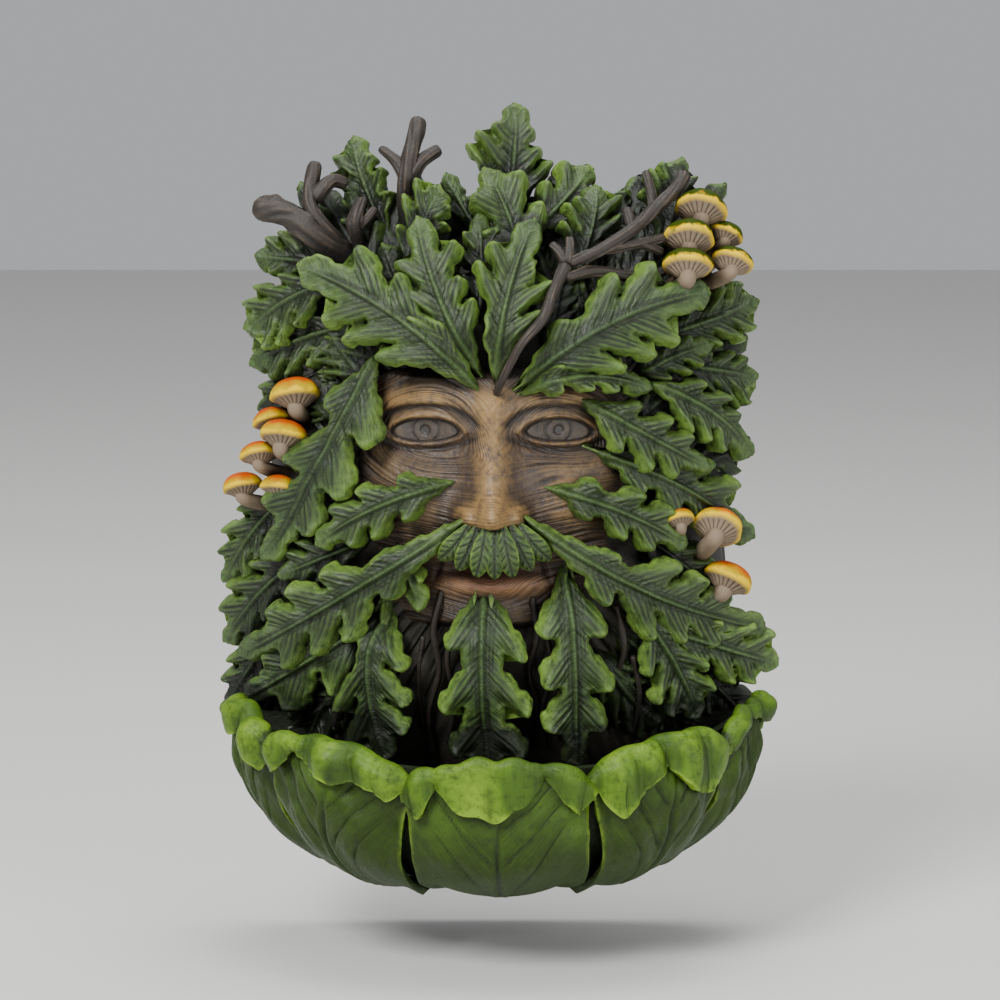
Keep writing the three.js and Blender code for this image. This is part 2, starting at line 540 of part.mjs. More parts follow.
// The outside of the basin: five overlapping petals, each with a lip that rolls out and hangs in waves
function petalBody() {
  const steps = 5;
  const seam = 0.4;
  const stops = PETALS.flatMap(({ until, lift, waves }, i) => {
    const from = i === 0 ? -90 : PETALS[i - 1].until + seam;
    return Array.from({ length: steps + 1 }, (_, k) => {
      const share = k / steps;
      const swell = Math.sin(Math.PI * share) ** 0.6;
      const wave = swell * (0.5 - 0.5 * Math.cos(2 * Math.PI * waves * share));
      const turn = THREE.MathUtils.degToRad(THREE.MathUtils.lerp(from, until, share));
      return { turn, lift, swell, wave };
    });
  });
  const at = new Map(stops.map((stop) => [stop.turn, stop]));
  const curl = (wave) => 0.4 + 0.6 * wave;
  const level = (down, proud) => (turn) => {
    const stop = at.get(turn);
    return basinSpot(turn, down(stop), proud(stop));
  };
  return skin(halfRound(stops.map((stop) => stop.turn), [
    level(() => 0, ({ lift }) => lift * 0.5),
    level(() => 0.02, ({ lift, wave }) => lift + LIP_ROLL * curl(wave)),
    level(({ wave }) => 0.05 + LIP_HANG * wave, ({ lift, wave }) => lift + 1 + LIP_ROLL * curl(wave)),
    level(({ wave }) => 0.12 + LIP_HANG * wave, ({ lift, swell }) => lift * 0.5 + swell),
    level(() => 0.5, ({ lift, swell }) => lift * 0.8 + PETAL_SWELL * swell),
    level(() => 0.82, ({ lift, swell }) => lift * 0.6 + PETAL_SWELL * swell),
    level(() => 0.99, () => 0),
  ], 0));
}

// The hollow of the basin, which stops short of the wall and runs up past the rim
function basinHollow() {
  const arcs = 10;
  const above = 40;
  const backDepth = 30;
  const turns = Array.from({ length: arcs + 1 }, (_, i) => (i / arcs - 0.5) * Math.PI);
  const inset = -BASIN_WALL / across;
  const floorZ = BASIN.bottomZ + BASIN_FLOOR / tall;
  const level = (down, raise = 0) => (turn) => {
    const place = basinSpot(turn, down, inset, floorZ);
    place.z += raise;
    return place;
  };
  const levels = [level(0, above), level(0), level(0.3), level(0.6), level(0.85)];
  return skin(halfRound(turns, levels, backDepth));
}

// The keyhole: a round bore for the screw head, with a slot above it that is wider behind its lip
function keyhole() {
  const outline = (halfWidth, bore) => {
    const shape = new THREE.Shape();
    const meet = Math.sqrt(bore ** 2 - halfWidth ** 2);
    shape.moveTo(halfWidth, meet);
    shape.lineTo(halfWidth, KEYHOLE_SLOT_LENGTH);
    shape.absarc(0, KEYHOLE_SLOT_LENGTH, halfWidth, 0, Math.PI, false);
    shape.lineTo(-halfWidth, meet);
    const side = Math.acos(halfWidth / bore);
    shape.absarc(0, 0, bore, Math.PI - side, 2 * Math.PI + side);
    return shape;
  };
  const bore = KEYHOLE_HEAD_BORE / 2;
  const place = new THREE.Matrix4().makeRotationX(Math.PI / 2).setPosition(0, 0, KEYHOLE_HEIGHT);
  const cut = (halfWidth, start, end) => {
    const shape = new THREE.ExtrudeGeometry(outline(halfWidth, bore), {
      depth: end - start, bevelEnabled: false, curveSegments: 6 });
    return solidOf(shape.translate(0, 0, start), place);
  };
  const mouthOverlap = 1;
  const entry = cut(KEYHOLE_SLOT_WIDTH / 2, -mouthOverlap, KEYHOLE_LIP + 0.1);
  const pocket = cut(bore * 0.98, KEYHOLE_LIP, KEYHOLE_LIP + KEYHOLE_POCKET);
  return entry.add(pocket);
}

const leafGroups = [CROWN_LEAVES, BROW_LEAVES, SIDE_LEAVES, MOUSTACHE_LEAVES, BEARD_LEAVES];
const leaves = leafGroups.flatMap((list) => Object.values(list)).map(leafBlade);
const basinShell = solidOf(petalBody()).subtract(solidOf(basinHollow()));
const parts = [headCore(), face(), ...leaves, ...lipLeaves(), ...BRANCHES.map(branch),
  ...MUSHROOMS.flatMap(mushroom)]
  .map((shape) => solidOf(shape));
const casting = parts.reduce((whole, piece) => whole.add(piece), basinShell).subtract(keyhole());

const result = casting.getMesh();
const geometry = new THREE.BufferGeometry();
geometry.setAttribute('position', new THREE.BufferAttribute(new Float32Array(result.vertProperties), 3));
geometry.setIndex(new THREE.BufferAttribute(new Uint32Array(result.triVerts), 1));
geometry.computeVertexNormals();

const mask = new THREE.Mesh(geometry, LEAF_GREEN);
mask.name = 'green_man_mask';

const group = new THREE.Group();
group.add(mask);

export default group;
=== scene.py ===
"""Green man mask: a foliate head with a basin of leaf petals, dressed over its solid frame."""

import json
import math

import bpy
import numpy as np
from bpy.props import FloatProperty, FloatVectorProperty, PointerProperty
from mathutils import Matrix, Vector

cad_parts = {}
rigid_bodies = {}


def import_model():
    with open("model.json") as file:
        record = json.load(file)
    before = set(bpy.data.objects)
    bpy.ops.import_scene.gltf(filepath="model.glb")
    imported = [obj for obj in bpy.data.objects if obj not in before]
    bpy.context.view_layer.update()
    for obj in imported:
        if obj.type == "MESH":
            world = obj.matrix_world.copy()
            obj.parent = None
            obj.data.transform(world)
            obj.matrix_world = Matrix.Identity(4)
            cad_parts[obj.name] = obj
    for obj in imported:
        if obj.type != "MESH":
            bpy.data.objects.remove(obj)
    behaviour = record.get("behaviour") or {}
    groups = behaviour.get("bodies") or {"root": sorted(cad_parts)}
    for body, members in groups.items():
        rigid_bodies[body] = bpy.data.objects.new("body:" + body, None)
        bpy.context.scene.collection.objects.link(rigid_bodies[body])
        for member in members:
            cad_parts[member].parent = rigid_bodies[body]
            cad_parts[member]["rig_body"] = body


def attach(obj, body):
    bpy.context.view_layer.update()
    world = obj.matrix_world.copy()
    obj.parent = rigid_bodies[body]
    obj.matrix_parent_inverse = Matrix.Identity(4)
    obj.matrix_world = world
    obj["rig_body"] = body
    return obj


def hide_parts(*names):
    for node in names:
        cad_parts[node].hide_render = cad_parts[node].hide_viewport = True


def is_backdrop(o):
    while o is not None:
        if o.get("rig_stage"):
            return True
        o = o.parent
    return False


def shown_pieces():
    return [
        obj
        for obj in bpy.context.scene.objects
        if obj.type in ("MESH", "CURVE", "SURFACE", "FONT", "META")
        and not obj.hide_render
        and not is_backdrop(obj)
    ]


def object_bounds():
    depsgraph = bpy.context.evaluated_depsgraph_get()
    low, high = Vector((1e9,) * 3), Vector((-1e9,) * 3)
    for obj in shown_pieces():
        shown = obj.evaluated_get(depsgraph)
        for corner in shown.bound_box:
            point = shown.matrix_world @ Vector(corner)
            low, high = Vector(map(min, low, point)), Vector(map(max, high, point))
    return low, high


bl_info = {
    "name": "Green man mask",
    "version": (1, 0, 0),
    "blender": (4, 5, 0),
    "location": "3D View > Sidebar > Green Man",
    "description": "Models the leaves, face, branches, mushrooms and basin of a green man wall mask",
    "category": "Add Mesh",
}

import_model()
CAD_LOW, CAD_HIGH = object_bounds()

# The lists below are drawn in millimetres: x to the right, z up, and the distance out from the wall
DRAWN_BOX = np.array([218.4, 116.2, 304.2])
TO_METRES = np.array(CAD_HIGH - CAD_LOW) / DRAWN_BOX
SIGHT_DISTANCE = 1600.0
SIGHT_DEPTH = 60.0

# Meshes: distances in metres
MERGE_DISTANCE = 2e-5
SHARP_ANGLE = math.radians(50)
SIDE_GAP = 0.0003

# Leaves face outwards as if they lay on a ball this wide and this high from its middle
FACING_WIDTH = 140
FACING_HEIGHT = 320

# Leaf carving
VEIN_LEAN = math.radians(48)
LEAF_ARCH = 0.06
LEAF_DROOP = 0.16
VEIN_SWEEP = 0.18
SWEEP_LENGTH = 24
WEB_SHARE = 0.63
STALK_HALF_WIDTH = 2.2
TIP_RADIUS = 6.0
FULLER = 1.12
FIRST_LOBE = 0.24
LAST_LOBE = 0.6
LOBE_FILL = 0.95
LOBE_SQUARE = 2.2
LOBE_PUFF = 2.7
STEM_SINK = 5.5
STEM_RUN = 9.0
EDGE_THICKNESS = 1.7
EDGE_WAVE = 0.75

# Sizes of the mesh's cells
LEAF_PITCH = 0.66
LIP_PITCH = 0.45
UNDER_PITCH = 1.12

# Two pairs of narrow lobes on a leaf longer than this become three
LONG_LEAF = 38
NARROW_LOBE = 17

# Carved lines beside each vein: how far off, half width, depth, how far out they run
VEIN_LINES = ((0.0, 0.75, 1.0, 0.92), (2.3, 0.5, 0.55, 0.8), (4.1, 0.45, 0.5, 0.6))

# Carved lines beside the midrib: how far off, half width, depth
MIDRIB_LINES = ((1.9, 0.6, 1.2), (3.7, 0.5, 0.6), (5.4, 0.45, 0.4))

# Rings under a leaf's edge: the share of the way back and the share of the width
UNDERSIDE_RINGS = ((0.45, 0.5), (1, 0.1))

# Under leaves, ring by ring: how many, where they root and end as shares of the head, the first one's offset,
# how far the root and the end stand off the head, and the least depth of the end
UNDER_RINGS = (
    (30, 0.62, 1.10, 0.0, 4, -5, 17),
    (28, 0.54, 0.98, 0.5, 5, 3, 0),
    (22, 0.40, 0.84, 0.19, 5, 4, 0),
)
UNDER_LOBES = [[14, 14], [16, 16], [13, 13]]
SHORTEST_UNDER_LEAF = 20

# The stretch at the upper left where no outer under leaves lie, in radians round the head
BARE_TURN = (2.4, 2.95)

# Head behind the leaves
CORE = {"x": 0.0, "z": -5.0, "half_width": 86.0, "half_height": 116.0, "square": 4.0, "rim": 14.0,
        "rise": 40.0}
HEAD_GRID = (260, 90)

# Shares of the head's grid: the back's fill and end, the flank's run, and where the front and its dome start
BACK_FILL, BACK_END, FLANK_RUN, FRONT_START, DOME_START = 0.16, 0.18, 0.14, 0.3, 0.34

# Keyhole in the back, in metres: the bore's radius and height, and the slot above it
KEYHOLE_DEPTH = 0.008
KEYHOLE_BORE = {"radius": 0.005, "z": 0.062}
KEYHOLE_SLOT = {"width": 0.005, "height": 0.012, "z": 0.068}

# Face, laid out by the five-eye and three-part rules
EYE_WIDTH = 25.0
EYEBALL = 12.5
FACE_THIRD = 48.0
FACE_X = -3.0
BROW_Z = 38.0
EYE_Z = BROW_Z - FACE_THIRD / 4
NOSE_Z = BROW_Z - FACE_THIRD
MOUTH_Z = NOSE_Z - FACE_THIRD / 3
CHIN_Z = NOSE_Z - FACE_THIRD
FACE_HALF_WIDTH = 2.2 * EYE_WIDTH
FACE_TOP = BROW_Z + 14
FACE_GRID = 270
FACE_EDGE_OUT = 34.0
FACE_BACK = -0.012

# Broad forms of the face: the height, the distance from the middle and the half width, the place in z and the
# half height. They are the frown, the eye hollows, the cheeks, the upper lip, the mouth, the lower lip and the
# chin.
FACE_FORMS = (
    (3.0, 0, 13, BROW_Z + 1, 7),
    (-9, EYE_WIDTH, 14, EYE_Z, 9),
    (6, 1.3 * EYE_WIDTH, 15, NOSE_Z + 8, 13),
    (5, 0, 20, MOUTH_Z + 6, 6),
    (-7, 0, 20, MOUTH_Z, 3),
    (6, 0, 16, MOUTH_Z - 6, 4),
    (6, 0, 14, CHIN_Z + 10, 9),
)

# The nose's tip and wings, in the same way
NOSE_FORMS = ((8.5, 0, 7.4, NOSE_Z + 7.0, 6.4), (7.5, 10.6, 3.8, NOSE_Z + 5.4, 4.6))

# Basin, in millimetres but for the sink of the bowl's rim, which is in metres
BASIN = {"x": -1.5, "half_width": 98.0, "reach": 84.0, "back": 24.0, "rim_z": -91.0, "rim_rise": 13.0,
         "bottom_z": -152.0, "fullness": 2.8, "wall": 6.0, "floor": 8.0}
RIM_FALL = BASIN["rim_z"] - BASIN["bottom_z"]
FRONT_FULLER = 1.5
SIDE_FULLER = 0.76
BOWL_INSET = 3.8
BOWL_DROP = 0.4
BOWL_FRONT_SHARE = 0.66
RIM_SINK = 0.0065
BOWL_VALUES = ("groove", "margin", "vein", "across", "tone")

# Petal mesh: its grid, the shares of its length where the body and the roll end, how far its floor lies below
# the bowl's, how far out it may reach before it gives way, and its thickness and rounded edge in metres
PETAL_GRID = (80, 88)
BODY_SHARE = 0.56
ROLL_SHARE = 0.7
PETAL_FLOOR_DROP = 6.0
PETAL_LIMIT = 106.4
PETAL_GIVE = 6.8
PETAL_THICKNESS = 0.0026
PETAL_EDGE = 0.0009

# Branches and mushrooms: what is merged at a bar's ends, how thin a tendril is, the height of a cap as a
# share of its radius, and the share of its outline above the rim
TUBE_MERGE = 0.02
TENDRIL_RADIUS = 1.5
CAP_HEIGHT_SHARE = 0.74
CAP_TOP_SHARE = 0.58

# Colours, each from the deepest to the lightest where there are several
GROUND_COLOURS = ((0.008, 0.007, 0.005), (0.034, 0.031, 0.021), (0.10, 0.088, 0.058))
BARK_COLOURS = ((0.007, 0.005, 0.004), (0.020, 0.0138, 0.0092), (0.125, 0.084, 0.052))
# The bowl's near-black paint is painted shade, seen in the gaps between the petals and in the basin's hollow
BOWL_SHADE_COLOURS = ((0.008, 0.011, 0.005), (0.018, 0.027, 0.009), (0.028, 0.045, 0.012), (0.04, 0.065, 0.014))
SKIN_DEEP = (0.012, 0.008, 0.007)
SKIN_MOTTLE = (0.040, 0.028, 0.024)
SKIN_LIGHT = (0.25, 0.150, 0.054)
LIP_COLOUR = (0.26, 0.11, 0.085)
EYE_COLOUR = (0.05, 0.045, 0.04)
PETAL_DEEP = (0.008, 0.015, 0.004)
PETAL_RIM = (0.165, 0.28, 0.018)
PETAL_LIGHTER = 3.4

# Caps' yellow, orange and moss, then the gills and stems, then the dark wash, which also paints the shade in the
# recesses
MUSHROOM_COLOURS = ((0.70, 0.46, 0.0), (0.72, 0.080, 0.0), (0.026, 0.044, 0.001), (0.21, 0.16, 0.11),
                    (0.038, 0.022, 0.014))

# Sockets of the colour mixing node
MIX_FIRST_COLOUR, MIX_SECOND_COLOUR, MIX_RESULT_COLOUR = 6, 7, 2

# Dark wash and painted shade in the recesses and under other parts: the cells of the height table and its border
# in metres, then for each level the radius in cells that it is evened over, how often, the depth in metres that
# takes the full darkening, and its weight
SHADE_WASH_CELL = 0.001
SHADE_WASH_BORDER = 0.03
SHADE_WASH_LEVELS = ((2, 1, 0.0022, 0.55), (5, 2, 0.006, 0.4), (12, 2, 0.014, 0.35))

# Stage: each light's name, place, power and size
LIGHTS = (
    ("key_light", (-0.75, -1.3, 1.15), 46, 0.7),
    ("fill_light", (1.2, -1.2, 0.35), 14, 1.0),
    ("top_light", (0.1, 0.1, 1.5), 20, 0.9),
)
FLOOR_COLOUR = (0.62, 0.61, 0.59)
SKY_COLOUR = (0.80, 0.82, 0.85)
SKY_STRENGTH = 0.55
VIEW_AIM = (0, -0.06, 0)
VIEW_TILT = math.radians(8)
SENSOR_WIDTH = 36


def drawn(stem, tip, bow, lobes, **more):
    return dict(stem=stem, tip=tip, bow=bow, lobes=lobes, **more)


# Leaves: stem and tip [x, z, out], the bow of the midrib, and the reach of each pair of lobes [left, right]
CROWN_LEAVES = {
    "crest": drawn([2, 98, 34], [6, 144.5, 26], 0.02,
                   [[23, 18], [18, 12], [10, 8]], first=0.2, last=0.66, tip_radius=6),
    "crest_front": drawn([9, 80, 56], [-6, 123, 46], 0.06, [[14, 17], [13, 14]]),
    "crown_ground": drawn([-8, 66, 63], [-8, 107, 50], 0.03, [[10, 10], [9, 9]], tip_radius=5),
    "crest_left": drawn([-6, 94, 40], [-21, 119, 34], 0, [[8, 6]], tip_radius=5),
    "back_left": drawn([-40, 92, 36], [-55, 132, 27], -0.04, [[14, 11], [13, 8]]),
    "back_left_outer": drawn([-63, 90, 34], [-75, 114, 22], 0, [[6, 6]], tip_radius=5),
    "back_left_inner": drawn([-46, 88, 38], [-57, 113, 30], 0, [[8, 6]], tip_radius=5),
    "mid_left": drawn([-35, 80, 54], [-22, 117, 50], -0.05, [[12, 10], [14, 10]]),
    "mid_left_low": drawn([-33, 70, 54], [-44, 95, 47], 0, [[7, 6]], tip_radius=5.4),
    "right_inner": drawn([10, 98, 46], [34, 122, 32], 0.04, [[13, 8], [12, 8]]),
    "right_middle": drawn([27, 80, 54], [36, 116, 40], 0.04, [[15, 11], [10, 14]]),
    "right_small": drawn([44, 94, 36], [47, 113, 28], 0, [[5, 5]], tip_radius=5),
    "right_back": drawn([60, 89, 40], [68, 124, 26], 0, [[16, 13], [11, 10]]),
    "right_outer": drawn([66, 88, 34], [84, 114, 22], 0, [[7, 10]], tip_radius=5),
}
BROW_LEAVES = {
    "brow_left": drawn([-6, 42, 84], [-76, 88.5, 60], 0.07, [[21, 10], [23, 17], [20, 19]], tip_radius=8),
    "crown_left": drawn([-6, 48, 82], [-31, 107, 63], -0.05,
                        [[18, 14], [19, 13], [15, 16]], tip_radius=6.6),
    "crown_centre": drawn([-2, 45, 84], [13, 106.5, 64], -0.05,
                          [[6, 17], [18, 19], [15, 9]], tip_radius=6.6),
    "brow_right": drawn([4, 43, 84], [79, 78.5, 58], -0.08, [[12, 22], [20, 23], [19, 20]], tip_radius=7.6),
    "brow_right_low": drawn([6, 42, 83], [57, 42, 63], -0.12, [[7, 5], [8, 6]], tip_radius=5),
}
SIDE_LEAVES = {
    "left_top": drawn([-58, 84, 46], [-92, 87, 29], 0.04, [[8, 12], [8, 11]]),
    "left_upper": drawn([-60, 82, 50], [-96, 60, 33], 0.05, [[14, 14], [15, 13]]),
    "left_middle": drawn([-52, 65, 50], [-94, 46, 26], 0.05, [[15, 12], [13, 16]]),
    "left_mushroom_ground": drawn([-58, 50, 42], [-91, 28, 24], 0.03, [[11, 11], [11, 11]], tip_radius=5.4),
    "left_temple": drawn([-45, 60, 64], [-90, -25, 44], -0.04,
                         [[17, 12], [17, 18], [13, 16]], first=0.2, last=0.67),
    "left_cheek": drawn([-76, 2, 38], [-104.4, -38, 17], 0.05, [[9, 14], [11, 11]], tip_radius=5.6),
    "left_jaw": drawn([-68, -20, 42], [-104.4, -61, 17], 0.05, [[11, 15], [11, 14]], tip_radius=5.6),
    "left_low": drawn([-78, -46, 36], [-103, -86, 15], 0.02, [[9, 12], [9, 11]], tip_radius=5.6),
    "left_rim": drawn([-60, -56, 36], [-97, -95, 22], 0.03, [[12, 12], [12, 12]]),
    "left_rim_inner": drawn([-52, -58, 38], [-76, -103, 30], 0.03, [[11, 11], [12, 12]]),
    "right_rim": drawn([60, -56, 36], [96, -93, 22], -0.03, [[12, 12], [12, 12]]),
    "right_rim_inner": drawn([50, -58, 38], [75, -103, 30], -0.03, [[11, 11], [12, 12]]),
    "right_upper": drawn([60, 60, 50], [97, 71, 28], 0, [[9, 14], [13, 13]]),
    "right_fan": drawn([46, 43, 60], [80, 57, 45], -0.06, [[7, 10], [7, 9]], tip_radius=5),
    "right_behind": drawn([64, 50, 48], [97, 42, 28], 0, [[9, 14], [9, 15]], tip_radius=5.6),
    "right_middle": drawn([54, 45, 61], [95, 13, 38], -0.08, [[11, 14], [12, 13], [9, 12]]),
    "right_temple": drawn([28, 42, 68], [79, 11, 54], 0.02, [[12, 13], [11, 12]], tip_radius=5),
    "right_cheek": drawn([31, 21, 67], [96, -18, 40], -0.05, [[12, 10], [18, 13], [17, 12]]),
    "right_cheek_low": drawn([13, 7, 73], [71, -18.5, 57], -0.05, [[9, 9], [13, 12]], tip_radius=5),
    "right_cheek_behind": drawn([46, -8, 54], [84, -40, 40], 0, [[12, 12], [14, 14], [11, 11]]),
    "left_cheek_inner": drawn([-14, 9, 74], [-70, -17.5, 58], 0.06, [[12, 9], [12, 11]], tip_radius=5.6),
    "left_cheek_behind": drawn([-46, -14, 56], [-84, -31.5, 43], 0, [[11, 11], [12, 12]], tip_radius=5),
}
MOUSTACHE_LEAVES = {
    "moustache_right": drawn([8, -3, 85], [101, -52.5, 36], 0.05,
                             [[8, 13], [18, 20], [16, 16], [12, 14]], first=0.3, last=0.73),
    "moustache_left": drawn([-11, -3, 85], [-99, -62.5, 36], -0.01,
                            [[12, 7], [20, 15], [18, 16], [17, 12]], first=0.3, last=0.73),
}
BEARD_LEAVES = {
    "beard_far_left": drawn([-44, -44, 60], [-97, -80, 32], 0, [[20, 13], [16, 13]]),
    "beard_left_inner": drawn([-40, -16, 68], [-31, -42, 66], -0.06, [[6, 5]], tip_radius=5.4),
    "beard_left": drawn([-44, -36, 66], [-43, -101, 55], 0.09,
                        [[17, 5], [18, 20], [14, 17]], first=0.17, last=0.67),
    "beard_centre": drawn([-6, -26, 78], [-4, -108, 62], 0.02,
                          [[20, 16], [22, 20], [18, 16]], first=0.16, last=0.7, tip_radius=8, stalk=7),
    "beard_right": drawn([26, -20, 72], [29, -103, 60], 0,
                         [[15, 14], [18, 14], [14, 13]], first=0.2, last=0.68),
    "beard_far_right": drawn([50, -40, 62], [76, -86, 46], -0.04, [[12, 15], [14, 15]]),
    "beard_last_right": drawn([60, -49, 58], [106, -67, 30], 0, [[12, 14], [15, 14]]),
}
LIP_LEAVES = {"count": 7, "centre_x": -2, "top_z": -6, "top_half": 9, "tip_z": -27, "tip_half": 21,
              "depth": 84}

# Branches: points [x, z, out] and the radius at the start and at the end
BRANCHES = [
    ([[-52, 84, 32], [-68, 97, 45], [-79, 105, 43], [-92, 107.5, 39]], (4, 5)),
    ([[-54, 85, 32], [-66, 101, 44], [-71, 110, 42], [-68.5, 124, 35]], (3.4, 2.4)),
    ([[-70, 110, 42], [-63, 117, 39], [-57, 115.5, 36]], (2.8, 2)),
    ([[-51, 84, 32], [-54, 101, 43], [-51, 111, 39]], (3.2, 2.2)),
    ([[-54, 100, 43], [-50, 103, 41], [-46, 107, 38]], (2.2, 1.6)),
    ([[-33, 94, 30], [-35, 117, 38], [-30, 140, 30]], (3.2, 3.0)),
    ([[-35, 117, 38], [-39, 124, 35], [-45, 128.5, 31]], (2.8, 1.8)),
    ([[-35, 117, 38], [-29, 124, 35], [-22, 128, 31]], (3.2, 2.2)),
    ([[-2, 40, 70], [1, 49, 80], [8, 62, 84], [16, 71, 80], [20, 81, 76], [25, 91, 71]], (1.2, 2.3)),
    ([[25, 90, 71], [26, 96, 69], [26, 100, 66]], (2.1, 1.6)),
    ([[25, 90, 71], [22, 95, 69], [19, 98, 67]], (2, 1.4)),
    ([[25, 91, 71], [37, 95, 66], [50, 102, 58], [58, 109, 52], [66, 115, 46], [69, 121, 42]], (2.1, 2.7)),
    ([[49, 102, 58], [48, 106, 56], [47, 109.5, 53]], (2.2, 1.4)),
    ([[57, 108, 52], [56, 115, 49], [54, 122, 45]], (2.0, 1.7)),
    ([[38, 95, 65], [52, 96.5, 59], [62, 98, 53]], (2.0, 1.7)),
    ([[51, 96.5, 59], [56, 95, 57], [61, 92, 54]], (1.9, 1.5)),
    ([[24, 86, 73], [36, 87, 66], [52, 84, 59], [62, 86, 54]], (2.0, 1.8)),
    ([[-22, -34, 60], [-25, -50, 58], [-23, -66, 54], [-27, -84, 48], [-25, -100, 40]], (1.3, 1.1)),
    ([[12, -36, 60], [14, -52, 58], [11, -66, 54], [14, -82, 48], [12, -98, 40]], (1.3, 1.0)),
    ([[44, -40, 58], [47, -56, 56], [44, -72, 50], [47, -90, 42]], (1.2, 1.0)),
    ([[-18, -48, 60], [-20, -62, 57], [-17, -78, 51], [-20, -96, 42]], (1.1, 1.0)),
    ([[17, -50, 60], [20, -66, 56], [16, -82, 50], [19, -98, 42]], (1.1, 0.9)),
    ([[-62, -60, 50], [-60, -74, 47], [-63, -90, 40]], (1.2, 0.9)),
    ([[-29, -52, 58], [-31, -70, 54], [-29, -90, 44]], (1.0, 0.9)),
    ([[50, -60, 54], [53, -76, 49], [50, -92, 42]], (1.1, 0.9)),
]

# Mushrooms: middle of the cap and foot of the stem [x, z, out], cap radius, lean back and to the right
MUSHROOMS = [
    ([-76.5, 37, 45], [-70, 27, 22], 9.8, 22, -4),
    ([-85.5, 26.5, 39], [-72, 18, 20], 7.6, 24, -10),
    ([-81.5, 22, 48], [-72, 12, 20], 9.2, 22, 6),
    ([-90.5, 14, 41], [-74, 4, 18], 7.4, 26, -8),
    ([-97, 1.5, 37], [-74, -8, 16], 7.8, 20, -12),
    ([-83, 2, 46], [-72, -8, 22], 7.4, 20, 8),
    ([75, 107, 46], [58, 90, 18], 10, 36, 10),
    ([70.5, 97, 53], [62, 84, 20], 9.8, 36, 4),
    ([70, 87.5, 59], [62, 76, 22], 9.4, 32, 2),
    ([84, 97, 42], [61, 81, 18], 7, 32, 20),
    ([86.5, 87.5, 48], [68, 74, 18], 8, 36, 14),
    ([67.5, -8.5, 56], [64, -18, 32], 6.2, 28, -12),
    ([82, -12, 53], [70, -28, 24], 9.6, 48, 16),
    ([86, -33, 46], [72, -40, 20], 9.6, 26, 26),
]

# The first and the last of the caps with mossy tops
DARK_CAPS = (6, 10)

# Petals: the span in degrees round the basin at the rim and at the foot, how far down the foot is, how much
# it rounds off and slants, the lift, how much the waist draws in, the height of the rim, and the lip's hang
# at evenly spaced places across
PETALS = {
    "far_left": dict(rim=(-89, -59), foot=(-88, -64), foot_down=0.88, rounding=0.16, slant=0.05,
                     lift=-1.4, waist=0.08, top_z=-92, hang=[3, 5, 2, 5, 8, 6, 11, 16]),
    "far_right": dict(rim=(61, 89), foot=(68, 89), foot_down=0.9, rounding=0.16, slant=-0.05,
                      lift=-1.4, waist=0.08, top_z=-92, hang=[6, 4, 3, 2, 4, 6, 4, 2]),
    "left": dict(rim=(-58, -19), foot=(-62, -24), foot_down=0.95, rounding=0.14, slant=0.06,
                 lift=0.4, waist=0.08, top_z=-93, hang=[10, 9, 2, 8, 12, 10, 8, 13]),
    "right": dict(rim=(21, 59), foot=(28, 65), foot_down=0.95, rounding=0.14, slant=-0.06,
                  lift=0.4, waist=0.08, top_z=-92, hang=[15, 21, 14, 7, 17, 19, 10, 3]),
    "centre": dict(rim=(-21, 22), foot=(-24, 28), foot_down=0.985, rounding=0.2, slant=0.0,
                   lift=0.8, waist=0.12, top_z=-96, hang=[14, 17, 1, 13, 18, 20, 18, 13, 0.5, 9, 14, 11]),
}


def clamp(value, low=0.0, high=1.0):
    return np.minimum(np.maximum(value, low), high)


def smooth(value, low, high):
    share = clamp((value - low) / (high - low))
    return share * share * (3 - 2 * share)


def mix(a, b, share):
    return a + (b - a) * share


def hill(offset, width):
    return np.exp(-((offset / width) ** 2))


def unit(vectors):
    return vectors / np.maximum(np.linalg.norm(vectors, axis=-1, keepdims=True), 1e-9)


def spot(x, z, out):
    """A drawn place as seen from in front, in millimetres."""
    x, z, out = np.broadcast_arrays(np.asarray(x, float), np.asarray(z, float), np.asarray(out, float))
    spread = 1 + (SIGHT_DEPTH - out) / SIGHT_DISTANCE
    return np.stack([x * spread, -out, z * spread], axis=-1)


def wander(a, b, seed):
    """A smooth wavering value, mostly between -1 and 1, from a few sines."""
    rng = np.random.default_rng(seed)
    total = np.zeros(np.broadcast(a, b).shape)
    for _ in range(5):
        turn, rate, start = rng.uniform(0, math.tau), rng.uniform(0.05, 0.26), rng.uniform(0, math.tau)
        total += np.sin((a * math.cos(turn) + b * math.sin(turn)) * rate + start)
    return total / 3


def blurred(values, radius, rounds=2):
    """Running means over a table, along both of its sides."""
    for _ in range(rounds):
        for axis in (0, 1):
            pads = [(radius + 1, radius) if side == axis else (0, 0) for side in (0, 1)]
            summed = np.cumsum(np.pad(values, pads, mode="edge"), axis=axis)
            width = 2 * radius + 1
            ahead = np.take(summed, np.arange(width, summed.shape[axis]), axis=axis)
            values = (ahead - np.take(summed, np.arange(summed.shape[axis] - width), axis=axis)) / width
    return values


def core_depth(x, z):
    """How far out the head's dome lies."""
    share = (np.abs(x - CORE["x"]) / CORE["half_width"]) ** CORE["square"]
    share = share + (np.abs(z - CORE["z"]) / CORE["half_height"]) ** CORE["square"]
    radius = clamp(share ** (1 / CORE["square"]))
    return CORE["rim"] + CORE["rise"] * (1 - radius ** 3) ** 0.6


def core_edge(c, s):
    """A place on the head's rounded square outline, from the cosine and sine of its turn."""
    power = 2 / CORE["square"]
    return (CORE["half_width"] * np.sign(c) * np.abs(c) ** power,
            CORE["half_height"] * np.sign(s) * np.abs(s) ** power)


# Meshes

def active(name):
    piece = bpy.context.object
    piece.name = name
    piece.data.name = name
    return piece


def deselect():
    bpy.ops.object.select_all(action="DESELECT")


